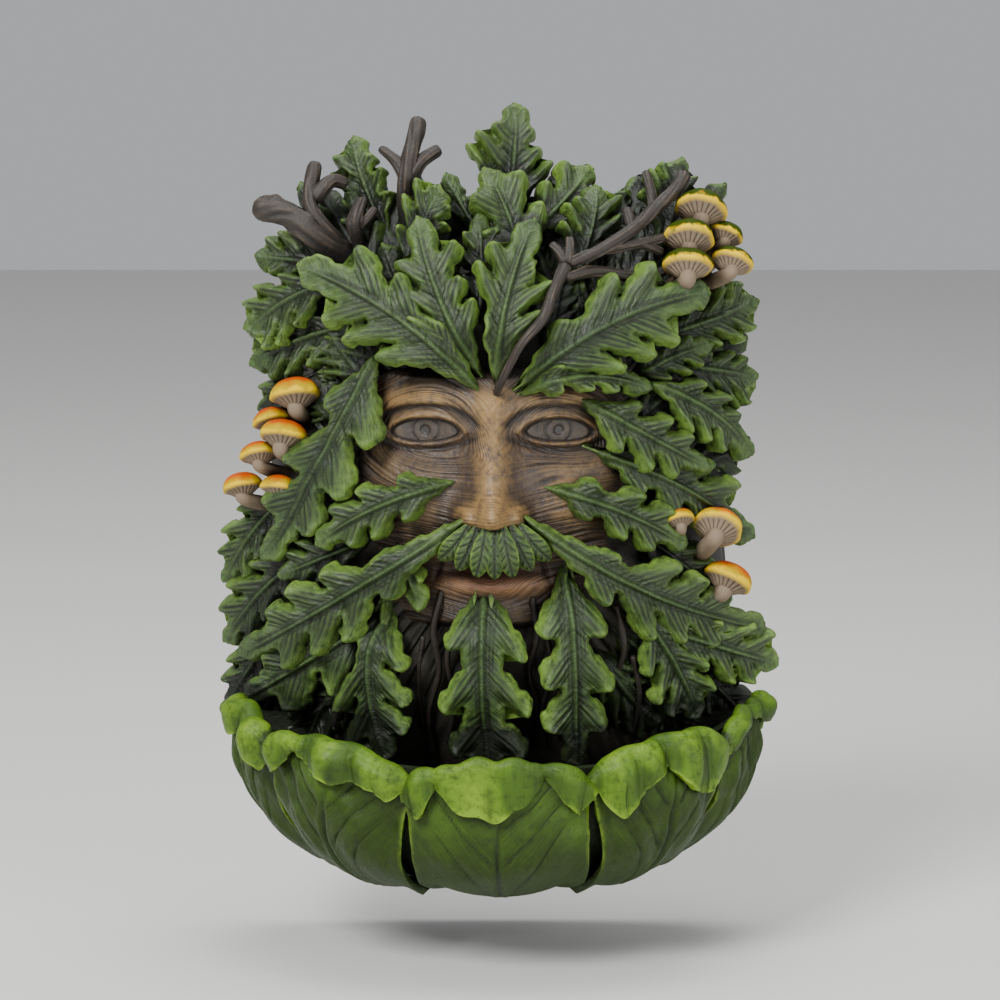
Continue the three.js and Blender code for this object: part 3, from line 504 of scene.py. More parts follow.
def pick(*pieces):
    deselect()
    for piece in pieces:
        piece.select_set(True)
    bpy.context.view_layer.objects.active = pieces[0]


def read_places(piece):
    places = np.empty(len(piece.data.vertices) * 3)
    piece.data.vertices.foreach_get("co", places)
    return places.reshape(-1, 3)


def write_places(piece, places):
    piece.data.vertices.foreach_set("co", np.ascontiguousarray(places, dtype=np.float32).reshape(-1))
    piece.data.update()


def to_metres(piece):
    write_places(piece, read_places(piece) * TO_METRES)


def set_values(piece, **values):
    """Stores a number for each vertex, which the paint reads by its name."""
    for name, numbers in values.items():
        data = piece.data.attributes.get(name) or piece.data.attributes.new(name, "FLOAT", "POINT")
        spread = np.broadcast_to(np.asarray(numbers, np.float32), len(piece.data.vertices))
        data.data.foreach_set("value", np.ascontiguousarray(spread))


def get_value(piece, name):
    values = np.empty(len(piece.data.vertices), np.float32)
    piece.data.attributes[name].data.foreach_get("value", values)
    return values.astype(float)


def grid(name, columns, rows):
    """A flat grid, and its vertices' places as shares of its width and height."""
    deselect()
    bpy.ops.mesh.primitive_grid_add(x_subdivisions=columns, y_subdivisions=rows, size=2)
    piece = active(name)
    flat = read_places(piece)
    return piece, (flat[:, 0] + 1) / 2, (flat[:, 1] + 1) / 2


def tidy_normals(piece, merge=0.0):
    pick(piece)
    bpy.ops.object.mode_set(mode="EDIT")
    bpy.ops.mesh.select_all(action="SELECT")
    if merge:
        bpy.ops.mesh.remove_doubles(threshold=merge)
    bpy.ops.mesh.normals_make_consistent(inside=False)
    bpy.ops.object.mode_set(mode="OBJECT")
    bpy.ops.object.shade_smooth()


def joined(name, pieces):
    pick(*pieces)
    if len(pieces) > 1:
        bpy.ops.object.join()
    return active(name)


def apply_modifier(piece, kind, **settings):
    pick(piece)
    modifier = piece.modifiers.new(kind.title(), kind)
    for key, value in settings.items():
        setattr(modifier, key, value)
    bpy.ops.object.modifier_apply(modifier=modifier.name)


def cut_away(piece, cutter):
    apply_modifier(piece, "BOOLEAN", object=cutter, operation="DIFFERENCE", solver="EXACT")
    bpy.data.objects.remove(cutter, do_unlink=True)


def select_border(piece):
    """Selects the open edges of a piece, and leaves it in edit mode."""
    pick(piece)
    tools = bpy.context.tool_settings
    tools.mesh_select_mode = (True, False, False)
    bpy.ops.object.mode_set(mode="EDIT")
    bpy.ops.mesh.select_all(action="DESELECT")
    tools.mesh_select_mode = (False, True, False)
    bpy.ops.mesh.select_non_manifold(extend=False, use_wire=False, use_boundary=True, use_multi_face=False,
                                     use_non_contiguous=False, use_verts=False)


def extrude_border(piece):
    """Adds a ring of faces to the open edge and returns which vertices are the new ones."""
    select_border(piece)
    bpy.ops.mesh.extrude_edges_move()
    bpy.ops.object.mode_set(mode="OBJECT")
    chosen = np.empty(len(piece.data.vertices), bool)
    piece.data.vertices.foreach_get("select", chosen)
    return chosen


def close_border(piece):
    select_border(piece)
    bpy.ops.mesh.edge_face_add()
    bpy.ops.object.mode_set(mode="OBJECT")


def finish_piece(piece, paint):
    piece.data.materials.clear()
    piece.data.materials.append(paint)
    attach(piece, "root")
    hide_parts("green_man_mask")


# Leaves

class Leaf:
    """One leaf: its midrib, its lobes and the outline in its own plane (a along, b across)."""

    def __init__(self, stem, tip, bow, lobes, first=FIRST_LOBE, last=LAST_LOBE, tip_radius=TIP_RADIUS,
                 stalk=STALK_HALF_WIDTH, oval=0.0):
        self.start, self.end = spot(*stem), spot(*tip)
        self.length = float(np.linalg.norm(self.end - self.start))
        along = (self.end - self.start) / self.length
        middle = (self.start + self.end) / 2
        out = self.outward(middle, along)
        right = np.cross(along, out)
        self.bend = middle + right * 2 * bow * self.length + out * 2 * LEAF_ARCH * self.length
        self.tip_radius, self.stalk, self.oval = tip_radius, stalk, oval
        if len(lobes) == 2 and self.length > LONG_LEAF and max(lobes[0]) < NARROW_LOBE:
            between = [1.12 * (lobes[0][side] + lobes[1][side]) / 2 for side in (0, 1)]
            lobes = [[0.95 * reach for reach in lobes[0]], between, [0.92 * reach for reach in lobes[1]]]
            last = max(last, 0.66)
        self.lobes = [[reach * FULLER + 0.6 for reach in pair] for pair in lobes]
        count = len(lobes)
        step = (last - first) / (count - 1) if count > 1 else 0.34
        self.lobe_at = [first + i * step if count > 1 else 0.4 for i in range(count)]
        self.lobe_half = min(step / 2, self.lobe_at[0] - 0.06)
        self.sink, self.sink_run = STEM_SINK, STEM_RUN
        if abs(stem[0] - FACE_X) < 2 * EYE_WIDTH and CHIN_Z < stem[1] < BROW_Z + 12:
            self.sink = max(STEM_SINK, stem[2] - float(face_ground(stem[0], stem[1])) + 3)
            self.sink_run = max(STEM_RUN, 0.34 * self.length)

    @staticmethod
    def outward(place, along):
        x, z = place[..., 0] / FACING_WIDTH, place[..., 2] / FACING_HEIGHT
        facing = np.stack([x, -np.ones_like(x), z], axis=-1)
        return unit(facing - along * np.sum(facing * along, axis=-1, keepdims=True))

    def axes(self, share):
        """The place, the sideways axis and the outward axis at shares of the midrib."""
        t = np.asarray(share, float)[..., None]
        place = (1 - t) ** 2 * self.start + 2 * t * (1 - t) * self.bend + t * t * self.end
        along = unit(2 * (1 - t) * (self.bend - self.start) + 2 * t * (self.end - self.bend))
        out = self.outward(place, along)
        return place, np.cross(along, out), out

    def reach(self, side, t):
        """How far the leaf reaches along its veins, on one side, at shares of the midrib."""
        if self.oval:
            return self.oval * np.sin(math.pi * clamp(t) ** 1.3) ** 0.6 + 0.3 * (1 - t)
        rise, lean = math.cos(VEIN_LEAN), math.sin(VEIN_LEAN)
        from_tip = t * self.length - (self.length - self.tip_radius)
        rounded = np.sqrt(np.maximum(0, self.tip_radius ** 2 - (from_tip * rise) ** 2))
        rounded = rounded - from_tip * lean
        tip_reach = np.where(from_tip > -self.tip_radius, rounded, self.tip_radius * 2 * lean)
        full = sum(pair[side] for pair in self.lobes) / len(self.lobes)
        foot = self.stalk if self.stalk > 3 else 0.4 * self.stalk
        web = mix(foot, max(self.stalk, WEB_SHARE * full), smooth(t, 0, self.lobe_at[0]) ** 0.8)
        reach = np.minimum(web, tip_reach)
        half = LOBE_FILL * self.lobe_half * self.length * rise
        for at, pair in zip(self.lobe_at, self.lobes):
            aside = (t - at) * self.length
            share = clamp(np.abs(aside * rise) / half)
            rounding = (1 - share ** LOBE_SQUARE) ** (1 / LOBE_SQUARE)
            finger = max(pair[side] - half, 0) + min(half, pair[side]) * rounding
            reach = np.where(share < 1, np.maximum(reach, finger - aside * lean), reach)
        beyond = t > self.lobe_at[-1] + self.lobe_half
        return np.where(beyond, np.minimum(tip_reach, self.tip_radius * 1.25), reach)

    def outline(self):
        """The leaf's edge as a close row of points in its own plane, with a wavering edge."""
        around = np.sin(np.linspace(-math.pi / 2, math.pi / 2, 44))
        shares = [np.linspace(0, 1, 120), 1 - np.linspace(0, 1, 24) ** 2 * self.tip_radius / self.length]
        shares += [at + around * self.lobe_half for at in self.lobe_at]
        t = np.unique(clamp(np.concatenate(shares)))
        halves = []
        for side, sign in ((0, -1), (1, 1)):
            reach = self.reach(side, t)
            swept = reach * math.sin(VEIN_LEAN) + VEIN_SWEEP * reach * reach / SWEEP_LENGTH * (1 - t)
            a = t * self.length + (0 if self.oval else swept)
            halves.append(np.stack([a, sign * reach * (1 if self.oval else math.cos(VEIN_LEAN))], axis=-1))
        loop = np.concatenate([halves[0], halves[1][::-1]])
        steps = np.maximum(1, np.ceil(np.linalg.norm(np.roll(loop, -1, 0) - loop, axis=1) / 0.4)).astype(int)
        fine = np.concatenate([
            start + (end - start) * np.arange(n)[:, None] / n
            for start, end, n in zip(loop, np.roll(loop, -1, 0), steps)])
        if self.oval:
            return fine
        run = np.cumsum(np.linalg.norm(np.roll(fine, -1, 0) - fine, axis=1))
        ahead = np.roll(fine, -3, 0) - np.roll(fine, 3, 0)
        across = unit(np.stack([ahead[:, 1], -ahead[:, 0]], axis=-1))
        start = self.length % 7
        wave = 0.6 * np.sin(run * math.tau / 10.3 + start) + 0.28 * np.sin(run * math.tau / 5.1 + 2 * start)
        return fine + across * (EDGE_WAVE * wave * smooth(fine[:, 0], 4, 14))[:, None]

    def oval_relief(self, a, b, d):
        """The relief of a small oval leaf with close veins."""
        aside = np.abs(b)
        share = clamp(aside / (self.reach(0, clamp(a / self.length)) + 0.3))
        v = a - 0.9 * aside
        veins = hill(np.mod(v, 3.0) - 1.5, 0.42) * smooth(share, 0.1, 0.3) * (1 - smooth(share, 0.75, 0.95))
        rib = hill(b, 0.5)
        height = 1.8 * (1 - share ** 2.4) - 0.6 * veins - 0.9 * rib
        height += 2.2 * np.sin(math.pi * clamp(a / self.length))
        return height, np.maximum(veins, rib), 0.9 * hill(d, 0.7), v, share

    def relief(self, a, b, d):
        """Height above the leaf's own plane, and its paint values. d is the way to the edge."""
        if self.oval:
            return self.oval_relief(a, b, d)
        run = np.abs(b) / math.cos(VEIN_LEAN)
        sweep = VEIN_SWEEP * run * run / SWEEP_LENGTH * (1 - clamp(a / self.length))
        t = (a - run * math.sin(VEIN_LEAN) - sweep) / self.length
        across = clamp(run / max(max(pair) for pair in self.lobes))
        seed = int(self.length * 10)
        nearest = np.full_like(a, 9.0)
        for at in self.lobe_at:
            nearest = np.where(np.abs(t - at) < np.abs(nearest), t - at, nearest)
        off = clamp(nearest / self.lobe_half, -1.2, 1.2)
        height = -LEAF_DROOP * run - self.sink * (1 - smooth(a, -1, self.sink_run))
        height += LOBE_PUFF * np.cos(off * math.pi) * smooth(across, 0.0, 0.8)
        v = nearest * self.length * math.cos(VEIN_LEAN)
        inside = smooth(d, 0.5, 1.9)
        groove = np.zeros_like(a)
        lens = 0.42 + 0.58 * np.sin(math.pi * clamp(across) ** 0.75)
        waver = 0.5 * wander(a * 1.6, b * 1.6, seed + 1)
        for place, width, depth, until in VEIN_LINES:
            line = hill(np.abs(v + waver) - place * lens, width) * inside * smooth(run, 1.5, 4)
            line = line * (1 - smooth(across, until - 0.35, until))
            height -= depth * line
            groove = np.maximum(groove, line)
        rib = mix(1.0, 0.4, clamp(a / self.length))
        for place, width, depth in MIDRIB_LINES:
            line = hill(np.abs(b) - place * rib, width) * smooth(self.length - a, 3, 14) * inside
            until = (1.3 - 0.12 * place) * self.length
            line = line * (1 - smooth(a, until - 16, until))
            height -= depth * line
            groove = np.maximum(groove, 0.9 * line)
        height += hill(b, 1.3 * rib) * smooth(self.length - a, 2, 12)
        height += 0.7 * hill(d - 1.5, 1.0) - 1.3 * (1 - clamp(d / 1.3)) ** 2
        height += (1.5 * wander(a * 0.8, b * 0.8, seed) + 0.5 * wander(a * 2.2, b * 2.2, seed + 3)) * inside
        margin = 0.75 * np.exp(-d / 1.2) + 0.42 * smooth(across, 0.4, 1.1)
        return height, groove, margin, v, across

    def places(self, a, b, height):
        place, right, out = self.axes(a / self.length)
        return place + right * b[..., None] + out * height[..., None]

    def keel(self, a, b, share, keep):
        """A place on the underside, where the leaf runs back into the head."""
        t = clamp(a / self.length)
        place, right, _ = self.axes(a / self.length)
        core = core_depth(place[..., 0], place[..., 2])
        depth = np.maximum(6, -place[..., 1] - core + 6)
        keel = mix(depth * 0.6 + 6, 5, t * t)
        keel = np.minimum(keel, -place[..., 1] - 1)
        back = place + right * (b * keep)[..., None]
        back[..., 1] += keel * share
        return back


def inside_outline(points, outline):
    x, y = points[:, 0], points[:, 1]
    inside = np.zeros(len(points), bool)
    for (x0, y0), (x1, y1) in zip(outline, np.roll(outline, -1, 0)):
        if y0 != y1:
            crosses = (y0 > y) != (y1 > y)
            inside ^= crosses & (x < (x1 - x0) * (y - y0) / (y1 - y0) + x0)
    return inside


def nearest_on(points, outline):
    """The gap from each point to the outline, and the outline's nearest point."""
    best = np.full(len(points), 1e18)
    which = np.zeros(len(points), int)
    for start in range(0, len(outline), 64):
        part = outline[start:start + 64]
        gap = ((points[:, None, :] - part[None]) ** 2).sum(-1)
        low = gap.argmin(1)
        value = gap[np.arange(len(points)), low]
        better = value < best
        best = np.where(better, value, best)
        which = np.where(better, low + start, which)
    return np.sqrt(best), outline[which]


def clean_cells(cells):
    """Fills cells that touch only at a corner, and keeps what is joined to the middle one."""
    for _ in range(3):
        a, b, c, d = cells[:-1, :-1], cells[:-1, 1:], cells[1:, :-1], cells[1:, 1:]
        cells[:-1, :-1] |= b & c & ~a & ~d
        cells[:-1, 1:] |= a & d & ~b & ~c
    rows = np.nonzero(cells.sum(1))[0]
    row = rows[len(rows) // 2]
    filled = np.nonzero(cells[row])[0]
    kept = np.zeros_like(cells)
    kept[row, filled[len(filled) // 2]] = True
    while True:
        grown = kept.copy()
        grown[1:] |= kept[:-1]
        grown[:-1] |= kept[1:]
        grown[:, 1:] |= kept[:, :-1]
        grown[:, :-1] |= kept[:, 1:]
        grown &= cells
        if grown.sum() == kept.sum():
            return grown
        kept = grown


def border(mesh):
    """Which vertices lie on the open edge of a mesh, and the edges of it."""
    uses = np.zeros(len(mesh.edges), int)
    loops = np.empty(len(mesh.loops), int)
    mesh.loops.foreach_get("edge_index", loops)
    np.add.at(uses, loops, 1)
    ends = np.empty(len(mesh.edges) * 2, int)
    mesh.edges.foreach_get("vertices", ends)
    open_edges = ends.reshape(-1, 2)[uses == 1]
    flags = np.zeros(len(mesh.vertices), bool)
    flags[open_edges.reshape(-1)] = True
    return flags, open_edges


def cut_to_outline(name, outline, pitch):
    """A flat grid, of which only the cells inside the outline stay."""
    low, high = outline.min(0) - pitch, outline.max(0) + pitch
    columns, rows = (int(n) for n in np.ceil((high[::-1] - low[::-1]) / pitch))
    piece, across, up = grid(name, columns, rows)
    set_values(piece, along=low[0] + up * rows * pitch, across=low[1] + across * columns * pitch)
    centre_a = low[0] + (np.arange(rows) + 0.5) * pitch
    centre_b = low[1] + (np.arange(columns) + 0.5) * pitch
    centres = np.stack(np.meshgrid(centre_a, centre_b, indexing="ij"), axis=-1).reshape(-1, 2)
    cells = clean_cells(inside_outline(centres, outline).reshape(rows, columns))
    middles = np.empty(len(piece.data.polygons) * 3)
    piece.data.polygons.foreach_get("center", middles)
    middles = (middles.reshape(-1, 3) + 1) / 2
    row_of = clamp((middles[:, 1] * rows).astype(int), 0, rows - 1)
    column_of = clamp((middles[:, 0] * columns).astype(int), 0, columns - 1)
    bpy.context.tool_settings.mesh_select_mode = (False, False, True)
    bpy.ops.object.mode_set(mode="EDIT")
    bpy.ops.mesh.select_all(action="DESELECT")
    bpy.ops.object.mode_set(mode="OBJECT")
    piece.data.polygons.foreach_set("select", ~cells[row_of, column_of])
    bpy.ops.object.mode_set(mode="EDIT")
    bpy.ops.mesh.delete(type="FACE")
    bpy.ops.object.mode_set(mode="OBJECT")
    return piece


def fit_edge(piece, outline):
    """The mesh's points with the edge drawn onto the outline and evened, and their gaps to it."""
    points = np.stack([get_value(piece, "along"), get_value(piece, "across")], axis=-1)
    edge, open_edges = border(piece.data)
    points[edge] = nearest_on(points, outline)[1][edge]
    for _ in range(2):
        total, count = np.zeros_like(points), np.zeros(len(points))
        for first, second in ((0, 1), (1, 0)):
            np.add.at(total, open_edges[:, first], points[open_edges[:, second]])
            np.add.at(count, open_edges[:, first], 1)
        points[edge] = mix(points[edge], total[edge] / count[edge][:, None], 0.3)
    gaps = nearest_on(points, outline)[0]
    gaps[edge] = 0
    return points[:, 0], points[:, 1], gaps


def model_leaf(name, details, tone, pitch):
    """One carved leaf with a rolled edge and an underside that runs back into the head."""
    leaf = Leaf(**details)
    outline = leaf.outline()
    piece = cut_to_outline(name, outline, pitch)
    a, b, gaps = fit_edge(piece, outline)
    height, groove, margin, v, across = leaf.relief(a, b, gaps)
    write_places(piece, leaf.places(a, b, height))
    set_values(piece, along=a, across=b, groove=groove, margin=margin, vein=v, tone=tone + 0.2 * across)

    chosen = extrude_border(piece)
    a, b = get_value(piece, "along")[chosen], get_value(piece, "across")[chosen]
    places = read_places(piece)
    height = leaf.relief(a, b, np.zeros_like(a))[0]
    places[chosen] = leaf.places(a, b * 0.99, height - EDGE_THICKNESS)
    write_places(piece, places)
    for share, keep in UNDERSIDE_RINGS:
        chosen = extrude_border(piece)
        a, b = get_value(piece, "along")[chosen], get_value(piece, "across")[chosen]
        places = read_places(piece)
        places[chosen] = leaf.keel(a, b, share, keep)
        write_places(piece, places)
    close_border(piece)
    return piece


def model_leaves(name, details, tone, pitch=LEAF_PITCH):
    rng = np.random.default_rng(len(name))
    pieces = [model_leaf(leaf, facts, tone + rng.uniform(-0.12, 0.12), pitch)
              for leaf, facts in details.items()]
    piece = joined(name, pieces)
    places = read_places(piece) * TO_METRES
    places[:, 0] = clamp(places[:, 0], CAD_LOW[0] + SIDE_GAP, CAD_HIGH[0] - SIDE_GAP)
    write_places(piece, places)
    tidy_normals(piece)
    return piece


def lip_leaf_details():
    """Plain pointed leaves fanned over the upper lip."""
    lip = LIP_LEAVES
    details = {}
    for i in range(lip["count"]):
        share = i / (lip["count"] - 1) * 2 - 1
        drop = 5 * share * share
        behind = 1.2 * (i % 2)
        top_x = lip["centre_x"] + share * lip["top_half"]
        tip_x = lip["centre_x"] + share * lip["tip_half"]
        details[f"lip_leaf_{i}"] = drawn(
            [top_x, lip["top_z"], lip["depth"] - 2 - drop - behind],
            [tip_x, lip["tip_z"] + 1.3 * drop, lip["depth"] - 1 - 2 * drop - behind],
            0.05 * share, [[5, 5]], oval=3.9)
    return details


def clear_of_face(x, z):
    """A root's place, moved outwards until it clears the face."""
    middle_z = NOSE_Z + 6
    from_face = math.hypot((x - FACE_X) / 60, (z - middle_z) / 62)
    outward = max(1.0, 1.0 / max(from_face, 0.2))
    return FACE_X + (x - FACE_X) * outward, middle_z + (z - middle_z) * outward


def under_leaf_details():
    """Leaves that fill the ground all round the head behind the listed ones."""
    details = {}
    rng = np.random.default_rng(4)
    for ring, (count, root, end, start, root_rise, end_rise, held) in enumerate(UNDER_RINGS):
        for i in range(count):
            turn = (i + start + rng.uniform(-0.2, 0.2)) / count * math.tau
            x, z = core_edge(math.cos(turn), math.sin(turn))
            if (z < -64 and abs(x) < 68) or (ring < 2 and BARE_TURN[0] < turn < BARE_TURN[1]):
                continue
            ends = []
            for share, rise in ((root, root_rise), (end, end_rise)):
                place = CORE["x"] + x * share, CORE["z"] + z * share - 3
                if share == root:
                    place = clear_of_face(*place)
                place_x, place_z = float(clamp(place[0], -97, 96)), float(clamp(place[1], -96, 118))
                out = core_depth(place_x, place_z) + rise
                ends.append([place_x, place_z, max(out, held) if share == end else out])
            if math.dist(ends[0][:2], ends[1][:2]) >= SHORTEST_UNDER_LEAF:
                details[f"under_leaf_{ring}_{i}"] = drawn(*ends, rng.uniform(-0.06, 0.06), UNDER_LOBES)
    return details


# Head, keyhole and face

def model_head():
    """The head behind the leaves: a flat back, upright sides and a domed, strand-carved front."""
    piece, around, down = grid("head_ground", *HEAD_GRID)
    angle = around * math.tau
    edge_x, edge_z = core_edge(np.cos(angle), np.sin(angle))
    front, back = down > FRONT_START, down < BACK_END
    radius = np.where(front, 1 - smooth((down - DOME_START) / (1 - DOME_START), 0, 1) * 0.999, 1.0)
    radius = np.where(back, clamp(down / BACK_FILL) * 0.999 + 0.001, radius)
    x, z = CORE["x"] + edge_x * radius, CORE["z"] + edge_z * np.where(edge_z > 0, 0.93, 1.0) * radius
    x = np.where(x > 0, x * (1 - 0.035 * hill(z + 2, 26) * smooth(radius, 0.7, 1.0)), x)
    strands = 0.5 * np.sin(angle * 38 + 2.2 * wander(x, z, 3))
    strands += 0.5 * np.sin(angle * 91 + 3 * wander(z, x, 5))
    fade = smooth(1 - radius, 0.0, 0.06)
    side = clamp((down - BACK_END) / FLANK_RUN)
    flank = smooth(side, 0.05, 0.3) * (1 - fade)
    groove = clamp(-strands) * np.maximum(fade, flank)
    dome = core_depth(x, z)
    out = dome - 1.6 * groove * fade + 0.8 * wander(x, z, 9) * fade
    out = np.where(back, 0.0, np.where(front, out, dome * side))
    drawn_in = 1 - flank * (0.014 * groove + 0.006 * (1 + wander(out * 3, angle * 40, 15)))
    x, z = CORE["x"] + (x - CORE["x"]) * drawn_in, CORE["z"] + (z - CORE["z"]) * drawn_in
    write_places(piece, spot(x, z, out) * TO_METRES)
    set_values(piece, groove=groove, margin=0.7 * clamp(strands) * flank, vein=strands, tone=0.0)
    tidy_normals(piece, merge=MERGE_DISTANCE)
    return piece


def keyhole_cutters():
    """A round bore and the slot above it, which are cut out of the back."""
    deselect()
    bpy.ops.mesh.primitive_cylinder_add(vertices=48, radius=KEYHOLE_BORE["radius"], depth=KEYHOLE_DEPTH,
                                        location=(0, 0, KEYHOLE_BORE["z"]), rotation=(math.pi / 2, 0, 0))
    bore = active("keyhole_bore")
    bpy.ops.mesh.primitive_cube_add(size=1, location=(0, 0, KEYHOLE_SLOT["z"]))
    slot = active("keyhole_slot")
    slot.scale = (KEYHOLE_SLOT["width"], KEYHOLE_DEPTH, KEYHOLE_SLOT["height"])
    bpy.ops.object.transform_apply(scale=True)
    return [bore, slot]


def raised_forms(forms, aside, z):
    return sum(height * hill(aside - at, half_width) * hill(z - at_z, half_height)
               for height, at, half_width, at_z, half_height in forms)


def face_ground(x, z):
    """Depth of the face's broad forms: brow, eye hollows, nose, cheeks, lips and chin."""
    aside = np.abs(x - FACE_X)
    eye_x = aside - EYE_WIDTH
    down = clamp((BROW_Z - z) / FACE_THIRD)
    nose = (5 + 11 * down ** 1.3) * hill(aside, 6.6 + 3.6 * down) * (1 - smooth(z, BROW_Z - 4, BROW_Z + 16))
    nose = nose + raised_forms(NOSE_FORMS, aside, z)
    out = 68 - 24 * (aside / 56) ** 2 - 6 * ((z - EYE_Z) / 60) ** 2
    out += nose * smooth(z, NOSE_Z - 2.4, NOSE_Z + 3)
    out += 5.5 * hill(eye_x, 17) * hill(z - BROW_Z + 0.014 * eye_x ** 2, 5.5)
    return out + raised_forms(FACE_FORMS, aside, z)


def carve_eyes(out, aside, z):
    """A ball between two lids, with a carved iris. Gives depth, dark lines and where the eye is open."""
    eye_x = aside - EYE_WIDTH
    u = eye_x / (EYE_WIDTH / 2)
    level = z - EYE_Z + 0.7 * u
    almond = 1 - np.abs(u) ** 2.4 - (np.abs(level) / np.where(level > 0, 4.9, 3.5)) ** 1.5
    inner = 3.4 * almond / (1 + 0.25 * np.abs(almond))
    lid = hill(inner + 1.5, 1.2)
    fold = hill(inner + 4.6, 0.9) * smooth(level, 0.5, 4)
    bag = hill(inner + 4.3, 0.9) * smooth(-level, 0.5, 4)
    opened = smooth(inner, -0.3, 0.5)
    base = out + 5.4 * hill(eye_x, 10.5) * hill(z - EYE_Z, 6.4)
    out = base + 1.9 * lid * (1 + 0.4 * smooth(z - EYE_Z, -1, 2)) - 1.2 * fold - 0.9 * bag
    ball = np.sqrt(np.maximum(0, EYEBALL ** 2 - eye_x ** 2 - (z - EYE_Z - 0.4) ** 2)) - EYEBALL
    out = mix(out, base + 0.1 + 0.75 * ball + 0.055 * eye_x ** 2, opened)
    spoke = np.hypot(eye_x, z - EYE_Z - 0.6)
    iris = hill(spoke - 4.9, 0.4) * opened
    pupil = (1 - smooth(spoke, 1.5, 2.3)) * opened
    out -= 0.6 * iris + 1.1 * pupil - 0.35 * (1 - smooth(spoke, 4, 5)) * opened
    dark = np.maximum.reduce([fold, bag * 0.8, iris, pupil, hill(inner, 0.5) * 0.9])
    return out, dark, opened


def wood_grain(x, z, aside):
    """Rings round the eyes and along the cheeks: their place, the deep lines and the fine ones."""
    eye_x = aside - EYE_WIDTH
    waver = 3.2 * wander(x, z, 11) + 1.3 * wander(x * 2.3, z * 2.3, 12)
    ring = np.hypot(eye_x / 1.35, (z - EYE_Z) * 1.1 + 0.008 * eye_x ** 2)
    lines = ring + waver + 0.10 * aside
    lines = lines + 1.3 * np.sin(lines * 0.42)
    grain = clamp(np.cos(lines * math.tau / 3.3)) ** 3
    fine = clamp(np.cos(lines * math.tau / 1.3 + 3 * wander(z, x, 13))) ** 2
    nose = hill(aside, 10.5) * smooth(z, NOSE_Z - 5, NOSE_Z + 4) * (1 - smooth(z, EYE_Z + 4, BROW_Z + 4))
    mouth = hill(aside, 21) * hill(z - MOUTH_Z, 9)
    keep = smooth(ring, 6.2, 9.5) * (1 - nose) * (1 - 0.8 * mouth)
    strength = clamp(keep * (0.55 + 0.65 * wander(x * 1.7, z * 1.7, 17)))
    return lines, grain * strength, fine * strength


def model_face():
    """The carved face, closed at the back."""
    piece, across, up = grid("face", FACE_GRID, FACE_GRID)
    x = FACE_X + (across * 2 - 1) * FACE_HALF_WIDTH
    z = CHIN_Z + up * (FACE_TOP - CHIN_Z)
    aside = np.abs(x - FACE_X)
    out, eye_lines, opened = carve_eyes(face_ground(x, z), aside, z)
    lines, grain, fine = wood_grain(x, z, aside)
    out -= 0.85 * grain + 0.16 * fine
    wing = hill(aside - 11.5 - 0.35 * clamp(NOSE_Z + 8 - z, 0, 30), 1.2) * smooth(NOSE_Z + 10 - z, 0, 5)
    out -= 1.3 * wing * (1 - smooth(NOSE_Z - 16 - z, 0, 8))
    nostril = hill(aside - 5.6, 2.2) * hill(z - (NOSE_Z - 0.6), 1.5)
    parting = hill(z - MOUTH_Z - 0.012 * aside ** 2, 0.8) * smooth(22 - aside, 0, 6)
    out -= 3.4 * nostril + 1.6 * parting
    groove = np.maximum.reduce([grain * 0.8, fine * 0.3, eye_lines, nostril, wing * 0.6, parting])

    # How far each place stands out from those round it, which takes the bright paint
    order = np.lexsort((across, np.rint(up * FACE_GRID)))
    table = out[order].reshape(FACE_GRID + 1, FACE_GRID + 1)
    raised = np.empty(len(out))
    raised[order] = (table - 0.6 * blurred(table, 9) - 0.4 * blurred(table, 24)).reshape(-1)

    # The edge runs back into the head; towards it the paint darkens and its bright paint fades, which is painted
    # shade
    rim = smooth(np.minimum.reduce([across, 1 - across, 0.45 * up, 1 - up]), 0.0, 0.05)
    shaded = 1 - smooth(np.minimum.reduce([across, 1 - across, 0.5 * up, 1 - up]), 0.01, 0.11)
    write_places(piece, spot(x, z, mix(FACE_EDGE_OUT, out, rim)) * TO_METRES)
    set_values(piece, groove=np.maximum(groove, 0.8 * shaded), vein=lines * (1 - opened), tone=opened * 0.5,
               margin=clamp(0.14 + raised * 0.46) * (1 - 0.8 * shaded),
               along=clamp(1.2 * hill(aside, 17) * hill(z - (MOUTH_Z - 5.5), 4)))
    chosen = extrude_border(piece)
    places = read_places(piece)
    places[chosen, 1] = FACE_BACK
    write_places(piece, places)
    close_border(piece)
    tidy_normals(piece)
    return piece


# Branches and mushrooms

def smooth_path(points, count):
    """A smooth curve through the points, as evenly shared out places."""
    points = np.asarray(points, float)
    padded = np.vstack([2 * points[0] - points[1], points, 2 * points[-1] - points[-2]])
    share = np.linspace(0, len(points) - 1 - 1e-6, count)
    i = share.astype(int)
    t = (share - i)[:, None]
    p0, p1, p2, p3 = padded[i], padded[i + 1], padded[i + 2], padded[i + 3]
    return 0.5 * (2 * p1 + (p2 - p0) * t + (2 * p0 - 5 * p1 + 4 * p2 - p3) * t ** 2
                  + (3 * p1 - p0 - 3 * p2 + p3) * t ** 3)


